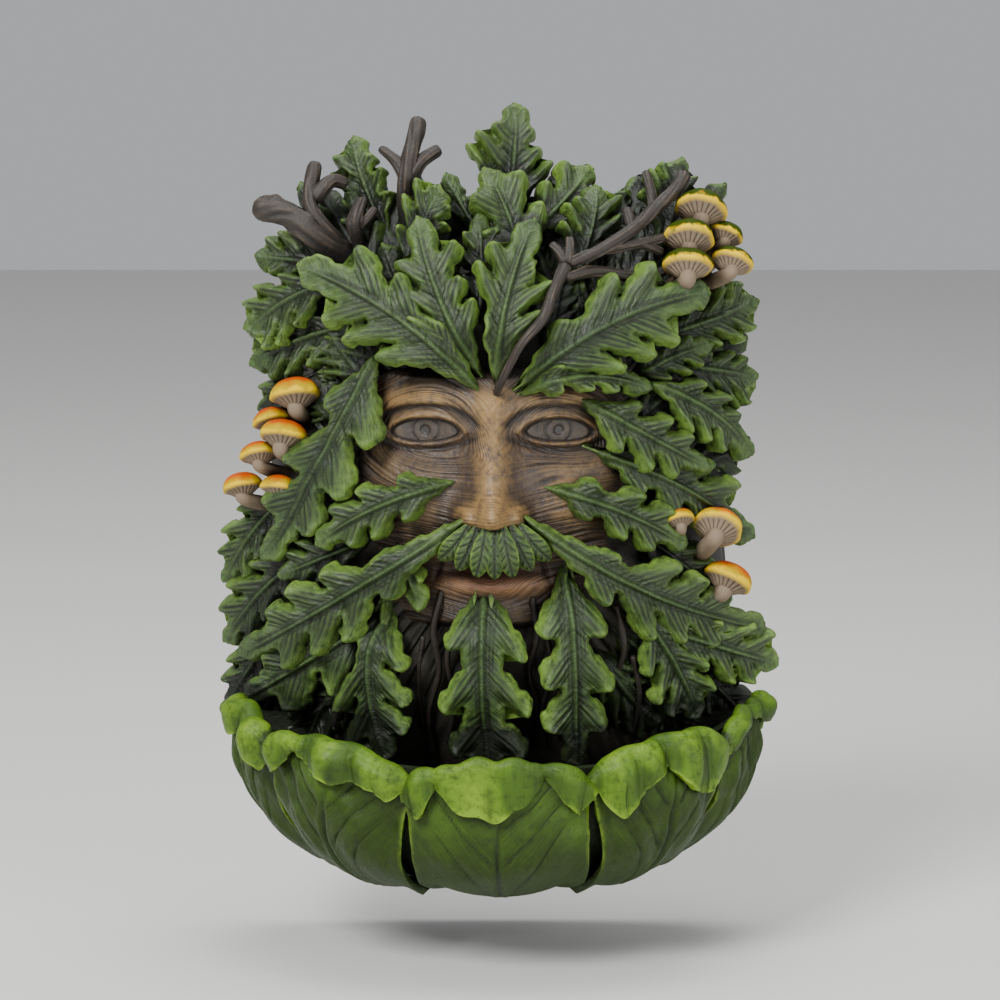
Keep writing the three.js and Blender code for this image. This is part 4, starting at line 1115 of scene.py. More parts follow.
def model_tube(name, points, radii, sides, pitch, bark, seed, ends):
    """A closed round bar along a path, carved with lengthwise grooves. Its ends round off over ends radii."""
    points = np.asarray(points, float)
    length = np.linalg.norm(np.diff(points, axis=0), axis=1).sum()
    rows = max(8, int(length / pitch))
    path = smooth_path(points, rows + 1)
    along = unit(np.gradient(path, axis=0))
    side = unit(np.cross(along, np.array([0.3, -1.0, 0.2])))
    other = np.cross(along, side)
    piece, around, up = grid(name, sides, rows)
    row = np.rint(up * rows).astype(int)
    angle = around * math.tau
    radius = mix(radii[0], radii[1], up)
    span = up * length
    close = clamp(1 - (1 - clamp(np.minimum(span, length - span) / (radius * ends + 1e-6))) ** 2.4) ** 0.5
    twist = angle + span * 0.03
    ridges = 0.5 * np.cos(twist * 5 + 1.2 * np.sin(span * 0.22 + seed))
    ridges += 0.5 * np.cos(twist * 9 + 2 * np.sin(span * 0.15))
    ridges *= 0.62 + 0.38 * np.sin(span * 0.31 + angle * 2 + seed)
    knot = hill(np.mod(span + seed * 3.1, 17) - 8, 2.4) * clamp(np.cos(angle - seed))
    lump = wander(span * 1.4, angle * 6, seed + 50)
    grown = (radius * (1 + bark * (0.11 * ridges + 0.16 * knot + 0.10 * lump)) * close)[:, None]
    sideways, onward = np.cos(angle)[:, None], np.sin(angle)[:, None]
    write_places(piece, path[row] + grown * (side[row] * sideways + other[row] * onward))
    set_values(piece, groove=clamp(-ridges) * bark, margin=clamp(ridges), vein=angle * 3, tone=up)
    tidy_normals(piece, merge=TUBE_MERGE)
    return piece


def model_branches():
    """The bark-covered branches and the thin, duller tendrils of the beard."""
    pieces = []
    for i, (path, radii) in enumerate(BRANCHES):
        thin = max(radii) < TENDRIL_RADIUS
        branch = model_tube(f"branch_{i}", [spot(*place) for place in path], radii, sides=12 if thin else 40,
                            pitch=0.8, bark=1.5, seed=i, ends=1.2)
        if thin:
            set_values(branch, margin=0.25 * get_value(branch, "margin"))
        pieces.append(branch)
    piece = joined("branches", pieces)
    to_metres(piece)
    tidy_normals(piece)
    return piece


def lean_matrix(back, right):
    """A cap's axes after it leans back and to the right."""
    a, b = math.radians(-back), math.radians(right)
    about_x = np.array([[1, 0, 0], [0, math.cos(a), -math.sin(a)], [0, math.sin(a), math.cos(a)]])
    about_y = np.array([[math.cos(b), 0, math.sin(b)], [0, 1, 0], [-math.sin(b), 0, math.cos(b)]])
    return about_x @ about_y


def model_cap(name, radius, tone):
    """A cap with a domed top, a rolled rim and gills beneath."""
    deselect()
    bpy.ops.mesh.primitive_uv_sphere_add(segments=80, ring_count=24, radius=1)
    piece = active(name)
    ball = read_places(piece)
    angle = np.arctan2(ball[:, 1], ball[:, 0])
    polar = np.arccos(clamp(ball[:, 2], -1, 1)) / math.pi
    top = polar < CAP_TOP_SHARE
    sweep = clamp(polar / CAP_TOP_SHARE) * math.pi / 2
    under = clamp((polar - CAP_TOP_SHARE) / (1 - CAP_TOP_SHARE))
    lip = smooth(under, 0.0, 0.16)
    gills = clamp(np.sin(angle * 20)) * smooth(under, 0.14, 0.3) * (1 - smooth(under, 0.6, 0.85))
    gills = np.where(top, 0, gills)
    wave = 1 + 0.035 * np.sin(angle * 3 + radius * 5) + 0.02 * np.sin(angle * 7 + radius * 9)
    reach = np.where(top, np.sin(sweep) ** 0.85, (1 - 0.1 * lip) * (1 - clamp((under - 0.12) / 0.88)))
    drop = -0.10 * lip - 0.34 * smooth(under, 0.1, 0.75)
    rise = np.where(top, CAP_HEIGHT_SHARE * np.cos(sweep) ** 1.05, drop) + gills * 0.07
    places = np.stack([reach * np.cos(angle) * wave, reach * np.sin(angle) * wave, rise], axis=-1)
    write_places(piece, places * radius)
    set_values(piece, groove=gills * 0.8, margin=np.where(top, 1 - polar / CAP_TOP_SHARE, 0),
               vein=smooth(under, 0.06, 0.16), tone=tone)
    return piece


def model_mushrooms():
    """Leaning caps on stems that root in the head."""
    pieces = []
    for i, (cap, foot, radius, back, right) in enumerate(MUSHROOMS):
        turn, centre, root = lean_matrix(back, right), spot(*cap), spot(*foot)
        dome = model_cap(f"cap_{i}", radius, 1.0 if DARK_CAPS[0] <= i <= DARK_CAPS[1] else 0.4)
        write_places(dome, read_places(dome) @ turn.T + centre)
        top = centre + turn @ np.array([0, 0, radius * 0.1])
        neck = centre + turn @ np.array([0, 0, -radius * 0.55])
        knee = mix(neck, root, 0.55) + np.array([0, 0, -1.0])
        stem = model_tube(f"stem_{i}", [top, neck, knee, root], (radius * 0.30, radius * 0.42), sides=26,
                          pitch=0.9, bark=0.35, seed=i, ends=0.5)
        set_values(stem, vein=1.0, margin=0.0, tone=1.0)
        pieces += [dome, stem]
    piece = joined("mushrooms", pieces)
    to_metres(piece)
    tidy_normals(piece)
    return piece


# Basin and petals

def basin_spot(turn, down, proud, floor_z=BASIN["bottom_z"], fuller=1.0):
    """A place on the basin, which is fuller in front than at its sides."""
    rim_z = BASIN["rim_z"] + BASIN["rim_rise"] * np.abs(np.sin(turn)) ** 3
    fullness = BASIN["fullness"] * mix(SIDE_FULLER, fuller, np.cos(turn) ** 2)
    girth = np.sqrt(1 - clamp(down) ** fullness)
    x = BASIN["x"] + (BASIN["half_width"] + proud) * girth * np.sin(turn)
    out = BASIN["back"] + (BASIN["reach"] + proud) * girth * np.cos(turn)
    return spot(x, rim_z + (floor_z - rim_z) * down, out)


def half_round(name, proud, floor_z, top, back, columns, rows):
    """A closed half-round body: a curved front, straight sides and a flat back."""
    piece, across, up = grid(name, columns, rows)
    row = np.rint(up * rows)
    down = clamp((row - 2) / (rows - 3)) ** 0.8 * 0.995
    places = basin_spot((clamp(across / BOWL_FRONT_SHARE) - 0.5) * math.pi, down, proud, floor_z)
    places[:, 1] = np.minimum(places[:, 1], -back - 1)
    right, left = [basin_spot(turn, down, proud, floor_z) for turn in (math.pi / 2, -math.pi / 2)]
    behind = clamp((across - BOWL_FRONT_SHARE) / (1 - BOWL_FRONT_SHARE))
    straight = mix(right, left, smooth(behind, 0.2, 0.8)[:, None])
    side_out = max(BASIN["back"], back + 1)
    straight[:, 1] = -mix(back, side_out, clamp(np.abs(behind - 0.5) / 0.1 - 4))
    places = np.where((behind > 0)[:, None], straight, places)
    places[row <= 1, 2] += top
    for end, ring in ((0, 1), (rows, rows - 1)):
        places[row == end] = places[row == ring].mean(0)
    write_places(piece, places * TO_METRES)
    set_values(piece, **dict.fromkeys(BOWL_VALUES, 0.0))
    tidy_normals(piece, merge=MERGE_DISTANCE)
    return piece


def model_bowl():
    """The plain bowl behind the petals, with its hollow cut out."""
    bottom = BASIN["bottom_z"]
    bowl = half_round("basin_bowl", proud=-BOWL_INSET, floor_z=bottom - BOWL_DROP, top=0.0, back=0.4,
                      columns=150, rows=34)
    hollow = half_round("basin_hollow", proud=-BASIN["wall"] - 0.6, floor_z=bottom + BASIN["floor"], top=40.0,
                        back=30.0, columns=120, rows=26)
    places = read_places(bowl)
    places[:, 2] -= RIM_SINK * smooth(places[:, 2], -0.150, -0.10)
    write_places(bowl, places)
    cut_away(bowl, hollow)
    tidy_normals(bowl)
    bpy.ops.object.shade_smooth_by_angle(angle=SHARP_ANGLE)
    return bowl


def lip_line(across, hang):
    """How far the lip hangs at each place across, and how fast that changes."""
    knots = np.linspace(0, 1, 61)
    soften = np.hanning(7)[1:-1] / np.hanning(7)[1:-1].sum()
    line = np.interp(knots, np.linspace(0, 1, len(hang)), hang)
    line = np.convolve(np.pad(line, 2, "edge"), soften, "valid")
    return np.interp(across, knots, line), np.interp(across, knots, np.gradient(line))


def petal_veins(u, v, half, seed):
    """Arched veins beside a midrib: their place across and along, the lines and the relief."""
    bent = u + 0.05 * np.sin(v * 5)
    arched = v - 0.85 * np.abs(bent) ** 1.25 + 0.02 * wander(u * 30, v * 30, seed)
    reach = smooth(np.abs(bent), 0.03, 0.1) * (1 - smooth(np.abs(u), 0.5, 0.85))
    lines, quilt = np.zeros_like(u), np.zeros_like(u)
    for k in range(3):
        off = arched - (0.27 * k + 0.02)
        lines = np.maximum(lines, hill(off, 0.012) * reach)
        quilt += 1.3 * hill(off - 0.1, 0.08)
    inside = smooth(1 - np.abs(u), 0.03, 0.2)
    beside_rib = hill(bent * half, 0.9) * (1 - smooth(v, 0.3, 0.9))
    groove = np.maximum(lines, beside_rib) * inside * smooth(v, 0.02, 0.1)
    relief = hill(np.abs(bent * half) - 2.6, 1.6) + quilt * inside * np.abs(bent) ** 0.5
    relief += 1.6 * wander(u * half * 1.4, v * 60, seed + 23) + 0.5 * wander(u * half * 4, v * 150, seed + 29)
    return bent, arched, groove, relief


def model_petal(name, rim, foot, foot_down, rounding, slant, lift, waist, top_z, hang):
    """A cupped petal that rises up the basin, rolls out over the rim and hangs down in waves."""
    piece, across, up = grid(name, *PETAL_GRID)
    u = across * 2 - 1
    half = math.radians(abs(rim[1] - rim[0]) / 2) * BASIN["half_width"]
    seed = int(half) + len(name)
    lip, turning = lip_line(across, hang)
    lobe = lip / max(hang)
    ends = smooth(1 - np.abs(u), 0.0, 0.22)
    roll = 0.4 + 1.5 * ends * smooth(lip, 1.5, 8)
    start_down = (BASIN["rim_z"] - top_z) / RIM_FALL + 0.16 * np.abs(u) ** 3.5
    start_down = start_down + 0.028 * wander(u * half * 2.6, u * 0, seed + 5) * ends
    v = clamp(up / BODY_SHARE)
    down = mix(foot_down - rounding * u * u + slant * u, start_down, v ** 0.85)

    def turn_at(level):
        """The turn round the basin, from the rim's span to the foot's."""
        place = 0.5 + 0.5 * u * (1 - waist * hill(level - 0.6, 0.34))
        rim_turn, foot_turn = mix(rim[0], rim[1], place), mix(foot[0], foot[1], place)
        return np.radians(mix(rim_turn, foot_turn, smooth(level, 0.25, 1.0)))

    def proud_at(level):
        """How far the petal stands out from the basin."""
        high = np.sin(math.pi * clamp((1 - level) * 0.85 + 0.1)) ** 0.6
        cup = 8.8 * (1 - np.abs(u) ** 2.2) * high
        curl = 3.2 * smooth(np.abs(u), 0.6, 1.0) * smooth(level, 0.5, 0.85)
        return lift + cup + curl + 2.6 * smooth(np.abs(u), 0.8, 1.0)

    # The body, from the foot up to the rim
    bent, arched, groove, relief = petal_veins(u, v, half, seed)
    fade = 1 - smooth(up, BODY_SHARE - 0.06, BODY_SHARE + 0.02)
    groove = groove * fade
    relief = (relief - 1.2 * groove) * fade
    body = basin_spot(turn_at(down), down, proud_at(down) + relief,
                      floor_z=BASIN["bottom_z"] - PETAL_FLOOR_DROP, fuller=FRONT_FULLER)
    body[:, 2] += 5.0 * (1 - smooth(v, 0.0, 0.09)) * (1 - smooth(np.abs(u), 0.6, 0.95))

    # The roll over the rim
    rim_turn = turn_at(start_down)
    outward = unit(np.stack([np.sin(rim_turn) * 1.15, -np.cos(rim_turn), np.zeros_like(rim_turn)], axis=-1))
    curl = clamp((up - BODY_SHARE) / (ROLL_SHARE - BODY_SHARE)) * math.pi
    rolled = basin_spot(rim_turn, start_down, proud_at(start_down), fuller=FRONT_FULLER)
    rolled = rolled + outward * (roll * (1 - np.cos(curl)))[:, None]
    rolled[:, 2] += roll * np.sin(curl) * 0.85

    # The hanging lip
    fall = clamp((up - ROLL_SHARE) / (1 - ROLL_SHARE))
    low = start_down + lip * (0.2 + 0.8 * ends) * fall / RIM_FALL
    puff = 3.2 * lobe ** 1.5 * np.sin(math.pi * fall ** 0.75) + 1.5 * lobe * fall ** 5
    away = 2 * roll * (1 - 0.55 * fall) + 0.3 + puff * ends
    hung = basin_spot(turn_at(low), low, proud_at(low), fuller=FRONT_FULLER) + outward * away[:, None]
    places = np.where((up > BODY_SHARE)[:, None], rolled, body)
    places = np.where((up > ROLL_SHARE)[:, None], hung, places)

    # Creases and ribs in the lip
    rib = 0.9 * hill(turning, 0.3) * smooth(lobe, 0.5, 0.8) * smooth(up, ROLL_SHARE, 0.85)
    crease = 1.9 * wander(across * half * 4, places[:, 2] * 1.5, seed + 31)
    crease += 0.5 * wander(across * half * 14, up * 60, seed)
    crease -= 2.6 * (1 - lobe) ** 2 * smooth(fall, 0.0, 0.5) + rib
    shift = crease * smooth(up, BODY_SHARE - 0.04, BODY_SHARE + 0.1) * (0.3 + 0.7 * ends)
    places = places + outward * shift[:, None]
    past = np.maximum(-places[:, 1] - PETAL_LIMIT, 0)
    places[:, 1] = -(np.minimum(-places[:, 1], PETAL_LIMIT) + PETAL_GIVE * np.tanh(past / 8))
    write_places(piece, places * TO_METRES)

    lip_zone = smooth(up, BODY_SHARE - 0.02, BODY_SHARE + 0.06)
    lip_groove = clamp(0.45 * clamp(-crease) + rib / 1.8)
    edge = np.minimum((1 - up) * (1 - ROLL_SHARE) * 90, (1 - np.abs(u)) * half)
    bright = lip_zone * (0.20 + 0.34 * crease) + 1.1 * hill(edge, 1.0) * mix(0.7, 1.0, lip_zone)
    patchy = 0.16 * wander(across * half * 2, up * 60, seed + 3)
    # Painted light and shade: the body's paint grows lighter from the foot up to the rim; the patches are the
    # paint's own
    set_values(piece, groove=np.maximum(groove * (1 - lip_zone), lip_zone * lip_groove), vein=arched * 60,
               margin=bright * smooth(v, 0.05, 0.4), across=bent * half,
               tone=mix(0.44 * v - 0.08, 0.66, lip_zone) + patchy)
    apply_modifier(piece, "SOLIDIFY", thickness=PETAL_THICKNESS, offset=-1.0, use_rim=True)
    apply_modifier(piece, "BEVEL", width=PETAL_EDGE, segments=2, limit_method="ANGLE",
                   angle_limit=math.radians(60))
    tidy_normals(piece)
    return piece


def model_petals():
    piece = joined("basin_petals", [model_petal(f"petal_{name}", **facts) for name, facts in PETALS.items()])
    tidy_normals(piece)
    return piece


# Paint

class Paint:
    """A painted material, with short names for the nodes that mix its colours."""

    def __init__(self, name):
        self.material = bpy.data.materials.new(name)
        self.material.use_nodes = True
        self.nodes, self.links = self.material.node_tree.nodes, self.material.node_tree.links
        self.shader = self.nodes["Principled BSDF"]

    def feed(self, socket, value):
        """Gives a socket a number or a colour, or links another node to it."""
        if hasattr(value, "is_linked"):
            self.links.new(value, socket)
        else:
            socket.default_value = value if isinstance(value, (int, float)) else (*value, 1.0)

    def value(self, name):
        node = self.nodes.new("ShaderNodeAttribute")
        node.attribute_name = name
        return node.outputs["Fac"]

    def noise(self, scale, detail, roughness=0.55, place=None):
        node = self.nodes.new("ShaderNodeTexNoise")
        node.inputs["Scale"].default_value = scale
        node.inputs["Detail"].default_value = detail
        node.inputs["Roughness"].default_value = roughness
        if place is None:
            place = self.nodes.new("ShaderNodeTexCoord").outputs["Object"]
        self.links.new(place, node.inputs["Vector"])
        return node.outputs["Fac"]

    def curve(self, source, low, high):
        """The source spread so that low gives 0 and high gives 1."""
        node = self.nodes.new("ShaderNodeMapRange")
        node.inputs["From Min"].default_value = low
        node.inputs["From Max"].default_value = high
        self.links.new(source, node.inputs["Value"])
        return node.outputs["Result"]

    def maths(self, operation, values, clamped=False):
        node = self.nodes.new("ShaderNodeMath")
        node.operation = operation
        node.use_clamp = clamped
        for socket, value in zip(node.inputs, values):
            self.feed(socket, value)
        return node.outputs["Value"]

    def plus(self, first, second, clamped=False):
        return self.maths("ADD", (first, second), clamped)

    def times(self, first, second, clamped=False):
        return self.maths("MULTIPLY", (first, second), clamped)

    def blend(self, share, first, second):
        node = self.nodes.new("ShaderNodeMix")
        node.data_type = "RGBA"
        self.feed(node.inputs["Factor"], share)
        self.feed(node.inputs[MIX_FIRST_COLOUR], first)
        self.feed(node.inputs[MIX_SECOND_COLOUR], second)
        return node.outputs[MIX_RESULT_COLOUR]

    def layer(self, base, over, source, low, high, strength):
        """A colour laid over the base, the more the further the source goes from low to high."""
        return self.blend(self.times(self.curve(source, low, high), strength), base, over)

    def streaks(self, scale, shear):
        """Brush streaks that follow the carved veins."""
        node = self.nodes.new("ShaderNodeCombineXYZ")
        wavering = self.plus(self.value("vein"), self.times(self.noise(120.0, 2.0), 2.2))
        self.links.new(wavering, node.inputs["X"])
        self.links.new(self.times(self.value("across"), shear), node.inputs["Y"])
        return self.noise(scale, 3.0, roughness=0.6, place=node.outputs["Vector"])

    def wash(self, patches, unevenness):
        """Painted shade with the dark wash in the recesses, made uneven by the patches."""
        uneven = self.times(self.maths("SUBTRACT", (patches, 0.5)), unevenness)
        return self.plus(self.value("recess"), uneven, clamped=True)

    def finish(self, colour, roughness, height, distance, strength):
        """Links the colour, the roughness and the relief to the shader."""
        self.links.new(colour, self.shader.inputs["Base Color"])
        self.feed(self.shader.inputs["Roughness"], roughness)
        node = self.nodes.new("ShaderNodeBump")
        node.inputs["Strength"].default_value = strength
        node.inputs["Distance"].default_value = distance
        self.links.new(height, node.inputs["Height"])
        self.links.new(node.outputs["Normal"], self.shader.inputs["Normal"])
        return self.material


def paint_leaves(name, deep, middle, light, rim, shine=0.42, brush=1.0, gloss=0.4):
    """Green paint with a dark wash in the carving, painted shade in the recesses and dry-brushed bright edges.
    """
    paint = Paint(name)
    patches, specks = paint.noise(70.0, 5.0), paint.noise(1100.0, 3.0)
    mottle = paint.noise(330.0, 5.0, roughness=0.7)
    lines, fine_lines = paint.streaks(0.75, 0.10), paint.streaks(2.0, 0.06)
    lit = paint.plus(paint.value("tone"), paint.times(patches, 0.9))
    colour = paint.blend(paint.curve(lit, 0.55, 1.25), middle, light)
    colour = paint.layer(colour, deep, lines, 0.5, 0.34, 0.36 * brush)
    colour = paint.layer(colour, rim, fine_lines, 0.52, 0.72, 0.38 * brush)
    colour = paint.layer(colour, deep, mottle, 0.5, 0.34, 0.4)
    worn = paint.curve(paint.plus(mottle, paint.times(patches, 0.6)), 0.6, 0.9)
    colour = paint.blend(paint.times(paint.value("margin"), worn, clamped=True), colour, rim)
    colour = paint.layer(colour, deep, paint.value("groove"), 0.1, 0.85, 0.78)
    # Painted shade: the recesses and the places under other parts take the deep colour
    colour = paint.blend(paint.times(paint.wash(patches, 0.35), 0.9), colour, deep)
    paint.shader.inputs["Specular IOR Level"].default_value = gloss
    rough = paint.plus(paint.times(lines, 1.3 * brush), paint.times(fine_lines, 0.5 * brush))
    rough = paint.plus(rough, paint.times(mottle, 0.5))
    roughness = paint.curve(specks, -shine, 2.2 - shine)
    return paint.finish(colour, roughness, rough, distance=0.0009, strength=0.75)


def paint_skin(name, deep, middle, light):
    """Ochre paint over an umber wash on wood grain, with painted shade in the recesses."""
    paint = Paint(name)
    patches, fine = paint.noise(55.0, 6.0), paint.noise(700.0, 4.0)
    mottle = paint.noise(300.0, 5.0, roughness=0.7)
    worn = paint.curve(paint.plus(mottle, paint.times(patches, 0.8)), 0.62, 0.98)
    colour = paint.blend(paint.curve(mottle, 0.4, 0.62), SKIN_MOTTLE, middle)
    colour = paint.blend(paint.times(paint.value("margin"), worn, clamped=True), colour, light)
    grain = paint.maths("SINE", (paint.times(paint.value("vein"), 5.0),))
    colour = paint.layer(colour, light, grain, 0.2, 1.0, 0.16)
    colour = paint.layer(colour, deep, paint.value("groove"), 0.06, 0.75, 0.85)
    # Painted shade: the recesses and the places under other parts take the deep colour
    colour = paint.blend(paint.wash(patches, 0.3), colour, deep)
    colour = paint.blend(paint.times(paint.value("along"), 0.5), colour, LIP_COLOUR)
    colour = paint.blend(paint.value("tone"), colour, EYE_COLOUR)
    rough = paint.plus(paint.plus(paint.times(grain, 0.25), fine), mottle)
    return paint.finish(colour, paint.curve(fine, -0.5, 1.6), rough, distance=0.0004, strength=0.8)


def paint_bark(name, deep, middle, light):
    """Grey-brown bark with pale brushed ridges and painted shade in the recesses."""
    paint = Paint(name)
    patches, fine = paint.noise(140.0, 5.0), paint.noise(900.0, 4.0)
    brushed = paint.times(paint.value("margin"), paint.curve(patches, 0.4, 0.66), clamped=True)
    colour = paint.blend(brushed, middle, light)
    colour = paint.layer(colour, deep, paint.value("groove"), 0.1, 0.7, 0.65)
    # Painted shade: the recesses and the places under other parts take the deep colour
    colour = paint.blend(paint.times(paint.value("recess"), 0.9, clamped=True), colour, deep)
    return paint.finish(colour, 0.62, paint.plus(fine, patches), distance=0.0004, strength=0.8)


def paint_mushrooms(name, yellow, orange, green, under, dark):
    """Yellow caps that turn orange and green towards the top, and pale gills and stems."""
    paint = Paint(name)
    top = paint.value("margin")
    height = paint.plus(top, paint.times(paint.noise(130.0, 4.0), 0.8))
    colour = paint.blend(paint.curve(height, 0.56, 0.92), yellow, orange)
    mossy = paint.curve(paint.plus(paint.times(top, 1.5), paint.noise(240.0, 3.0)), 0.58, 0.78)
    colour = paint.blend(paint.times(mossy, paint.value("tone")), colour, green)
    colour = paint.blend(paint.value("vein"), colour, under)
    colour = paint.layer(colour, dark, paint.value("groove"), 0.15, 0.7, 0.7)
    # Painted shade: the recesses and the places under other parts take the dark colour
    colour = paint.blend(paint.times(paint.value("recess"), 0.6, clamped=True), colour, dark)
    paint.shader.inputs["Specular IOR Level"].default_value = 0.08
    return paint.finish(colour, 0.6, paint.noise(600.0, 3.0), distance=0.0002, strength=0.5)


def wash_recesses(pieces):
    """Stores how deep each place lies below what stands round it, and under it: painted shade and the dark wash
    go there.
    """
    low = np.array(CAD_LOW) - SHADE_WASH_BORDER
    size = np.ceil((np.array(CAD_HIGH) + SHADE_WASH_BORDER - low) / SHADE_WASH_CELL).astype(int)
    heights = np.zeros((size[0], size[2]))
    spots = {}
    for piece in pieces:
        places = read_places(piece)
        cells = ((places - low) / SHADE_WASH_CELL).astype(int)
        i, k = clamp(cells[:, 0], 0, size[0] - 1), clamp(cells[:, 2], 0, size[2] - 1)
        spots[piece.name] = (i, k, -places[:, 1])
        np.maximum.at(heights, (i, k), -places[:, 1])
    levels = [(blurred(heights, radius, rounds), reach, weight)
              for radius, rounds, reach, weight in SHADE_WASH_LEVELS]
    for piece in pieces:
        i, k, out = spots[piece.name]
        deep = sum(weight * clamp((level[i, k] - out) / reach) for level, reach, weight in levels)
        # Painted shade under any surface that stands above in the same column
        under = clamp((heights[i, k] - out - 0.0015) / 0.006)
        share = 0.5 if piece.name in ("face", "head_ground") else 1.0
        set_values(piece, recess=share * clamp(deep + 0.4 * under - 0.08))


# Settings and operators

class MaskSettings(bpy.types.PropertyGroup):
    leaf_green: FloatVectorProperty(name="Leaf green", description="Main colour of the leaves",
                                    subtype="COLOR", default=(0.028, 0.052, 0.016), min=0.0, max=1.0)
    leaf_light: FloatVectorProperty(name="Leaf light", description="Lighter green of the lobes",
                                    subtype="COLOR", default=(0.066, 0.116, 0.028), min=0.0, max=1.0)
    leaf_rim: FloatVectorProperty(name="Leaf edge", description="Dry-brushed leaf edges", subtype="COLOR",
                                  default=(0.150, 0.255, 0.036), min=0.0, max=1.0)
    # The deep colour of the wash in the carving, which the leaf paints also use for painted shade in the
    # recesses
    wash: FloatVectorProperty(name="Wash", description="Dark wash in the carving", subtype="COLOR",
                              default=(0.005, 0.006, 0.004), min=0.0, max=1.0)
    skin: FloatVectorProperty(name="Skin", description="Main colour of the face", subtype="COLOR",
                              default=(0.085, 0.052, 0.027), min=0.0, max=1.0)
    basin_green: FloatVectorProperty(name="Basin green", description="Main colour of the petals",
                                     subtype="COLOR", default=(0.020, 0.043, 0.0022), min=0.0, max=1.0)
    view_distance: FloatProperty(name="View distance", description="Camera distance from the mask",
                                 default=1.6, min=0.5, unit="LENGTH")
    view_width: FloatProperty(name="View width", description="Width across the view at the mask",
                              default=0.3764, min=0.1, unit="LENGTH")


def settings():
    return bpy.context.scene.green_man


def leaf_paint(name, painted_light_scale, shine=0.42):
    values = settings()
    # Scaling the colours gives lighter and darker copies of one paint, which is painted light and shade
    scaled = [tuple(c * painted_light_scale for c in colour)
              for colour in (values.leaf_green, values.leaf_light, values.leaf_rim)]
    return paint_leaves(name, tuple(values.wash), *scaled, shine=shine)


class GREENMAN_OT_head(bpy.types.Operator):
    """Model the head behind the leaves, with the keyhole in its back"""
    bl_idname = "greenman.head"
    bl_label = "Head"

    def execute(self, context):
        piece = model_head()
        for cutter in keyhole_cutters():
            cut_away(piece, cutter)
        bpy.ops.object.shade_smooth_by_angle(angle=SHARP_ANGLE)
        finish_piece(piece, paint_bark("ground_paint", *GROUND_COLOURS))
        return {"FINISHED"}


class GREENMAN_OT_face(bpy.types.Operator):
    """Model the face"""
    bl_idname = "greenman.face"
    bl_label = "Face"

    def execute(self, context):
        paint = paint_skin("skin_paint", SKIN_DEEP, tuple(settings().skin), SKIN_LIGHT)
        finish_piece(model_face(), paint)
        return {"FINISHED"}


class GREENMAN_OT_leaves(bpy.types.Operator):
    """Model the leaves of the crown, brows, sides, moustache, lip and beard"""
    bl_idname = "greenman.leaves"
    bl_label = "Leaves"

    def execute(self, context):
        # Lighter and darker copies of one leaf paint: the beard's copy is lightened, which is painted light
        green = leaf_paint("leaf_paint", 1.06)
        beard, ground = leaf_paint("beard_painted_light_paint", 1.35, 0.5), leaf_paint("under_leaf_paint", 1.0, 0.5)
        for name, details, tone, paint, pitch in (
                ("crown_leaves", CROWN_LEAVES, 0.22, green, LEAF_PITCH),
                ("brow_leaves", BROW_LEAVES, 0.34, green, LEAF_PITCH),
                ("side_leaves", SIDE_LEAVES, 0.2, green, LEAF_PITCH),
                ("moustache_leaves", MOUSTACHE_LEAVES, 0.24, green, LEAF_PITCH),
                ("beard_leaves", BEARD_LEAVES, 0.16, beard, LEAF_PITCH),
                ("lip_leaves", lip_leaf_details(), 0.3, green, LIP_PITCH),
                ("under_leaves", under_leaf_details(), 0.0, ground, UNDER_PITCH)):
            finish_piece(model_leaves(name, details, tone, pitch), paint)
        return {"FINISHED"}


class GREENMAN_OT_branches(bpy.types.Operator):
    """Model the branches and the tendrils"""
    bl_idname = "greenman.branches"
    bl_label = "Branches"

    def execute(self, context):
        finish_piece(model_branches(), paint_bark("bark_paint", *BARK_COLOURS))
        return {"FINISHED"}


class GREENMAN_OT_mushrooms(bpy.types.Operator):
    """Model the mushrooms"""
    bl_idname = "greenman.mushrooms"
    bl_label = "Mushrooms"

    def execute(self, context):
        paint = paint_mushrooms("mushroom_paint", *MUSHROOM_COLOURS)
        finish_piece(model_mushrooms(), paint)
        return {"FINISHED"}


class GREENMAN_OT_basin(bpy.types.Operator):
    """Model the basin and its petals"""
    bl_idname = "greenman.basin"
    bl_label = "Basin"

    def execute(self, context):
        middle = tuple(settings().basin_green)
        light = tuple(c * PETAL_LIGHTER for c in middle)
        paint = paint_leaves("petal_paint", PETAL_DEEP, middle, light, PETAL_RIM, brush=0.4, gloss=0.22)
        # The bowl takes near-black paint: painted shade in the gaps and the hollow
        finish_piece(model_bowl(), paint_leaves("bowl_shade_paint", *BOWL_SHADE_COLOURS))
        finish_piece(model_petals(), paint)
        return {"FINISHED"}


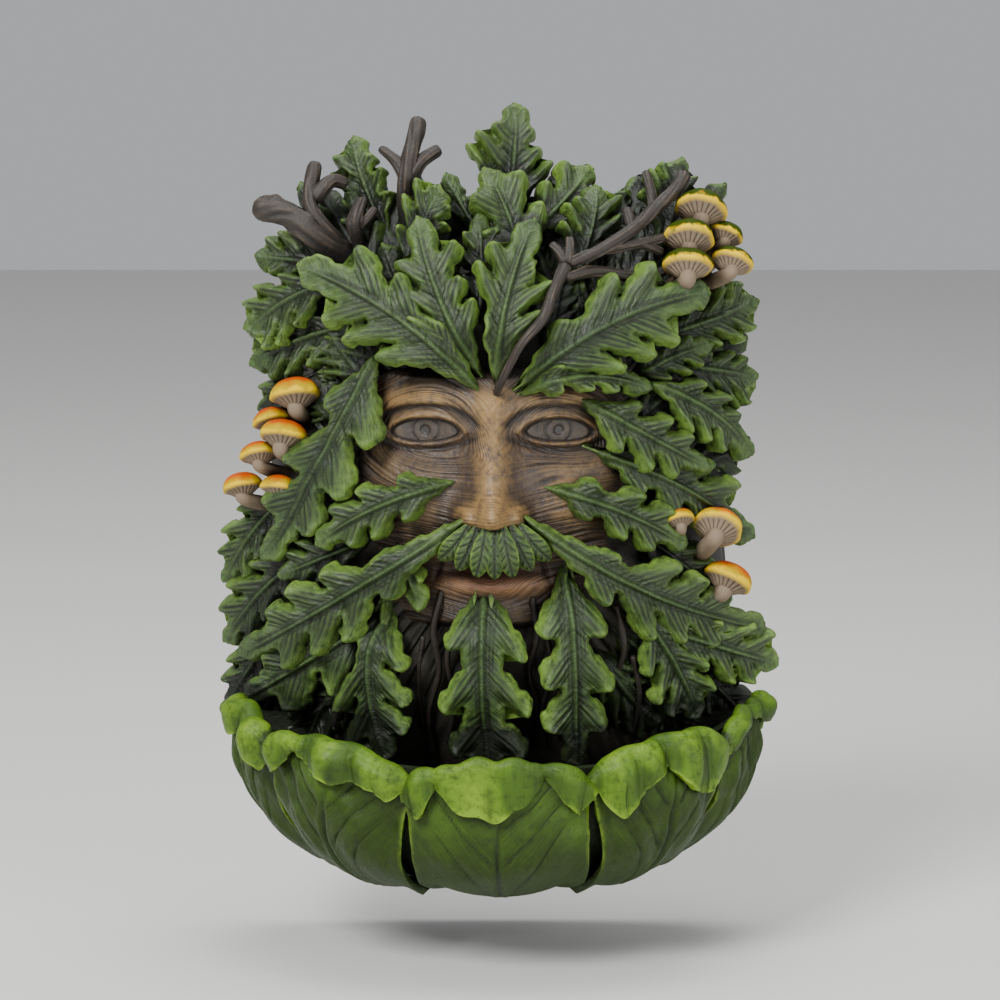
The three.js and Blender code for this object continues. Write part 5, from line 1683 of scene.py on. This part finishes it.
class GREENMAN_OT_stage(bpy.types.Operator):
    """Set up the floor, the lights and the camera"""
    bl_idname = "greenman.stage"
    bl_label = "Stage"

    def execute(self, context):
        deselect()
        bpy.ops.mesh.primitive_plane_add(size=6, location=(0, 0, CAD_LOW[2] - 0.02))
        floor = active("floor")
        paint = Paint("floor_paint")
        paint.feed(paint.shader.inputs["Base Color"], FLOOR_COLOUR)
        paint.feed(paint.shader.inputs["Roughness"], 0.8)
        floor.data.materials.append(paint.material)
        floor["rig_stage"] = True
        world = bpy.data.worlds.new("studio")
        world.use_nodes = True
        background = world.node_tree.nodes["Background"]
        background.inputs["Color"].default_value = (*SKY_COLOUR, 1)
        background.inputs["Strength"].default_value = SKY_STRENGTH
        context.scene.world = world
        aim = Vector(VIEW_AIM)
        for name, place, power, size in LIGHTS:
            data = bpy.data.lights.new(name, "AREA")
            data.energy, data.size = power, size
            light = bpy.data.objects.new(name, data)
            light.location = place
            light.rotation_euler = (aim - light.location).to_track_quat("-Z", "Y").to_euler()
            context.scene.collection.objects.link(light)
        values = settings()
        camera = bpy.data.objects.new("camera", bpy.data.cameras.new("camera"))
        camera.location = aim + Vector((0, -math.cos(VIEW_TILT), math.sin(VIEW_TILT))) * values.view_distance
        camera.rotation_euler = (math.pi / 2 - VIEW_TILT, 0, 0)
        camera.data.sensor_width = SENSOR_WIDTH
        camera.data.lens = SENSOR_WIDTH * values.view_distance / values.view_width
        camera.data.clip_start = 0.01
        context.scene.collection.objects.link(camera)
        context.scene.camera = camera
        return {"FINISHED"}


class GREENMAN_PT_panel(bpy.types.Panel):
    """Buttons and settings of the mask"""
    bl_idname = "GREENMAN_PT_panel"
    bl_label = "Green Man"
    bl_space_type = "VIEW_3D"
    bl_region_type = "UI"
    bl_category = "Green Man"

    def draw(self, context):
        for name in MaskSettings.__annotations__:
            self.layout.prop(context.scene.green_man, name)
        for operator in OPERATORS:
            self.layout.operator(operator.bl_idname)


OPERATORS = (GREENMAN_OT_head, GREENMAN_OT_face, GREENMAN_OT_leaves, GREENMAN_OT_branches,
             GREENMAN_OT_mushrooms, GREENMAN_OT_basin, GREENMAN_OT_stage)
CLASSES = (MaskSettings, *OPERATORS, GREENMAN_PT_panel)


def register():
    for item in CLASSES:
        bpy.utils.register_class(item)
    bpy.types.Scene.green_man = PointerProperty(type=MaskSettings)


def unregister():
    del bpy.types.Scene.green_man
    for item in reversed(CLASSES):
        bpy.utils.unregister_class(item)


def main():
    register()
    bpy.ops.greenman.head()
    bpy.ops.greenman.face()
    bpy.ops.greenman.leaves()
    bpy.ops.greenman.branches()
    bpy.ops.greenman.mushrooms()
    bpy.ops.greenman.basin()
    bpy.ops.greenman.stage()
    modelled = [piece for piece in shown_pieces() if piece.get("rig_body") and "groove" in piece.data.attributes]
    wash_recesses(modelled)


if __name__ == "__main__":
    main()
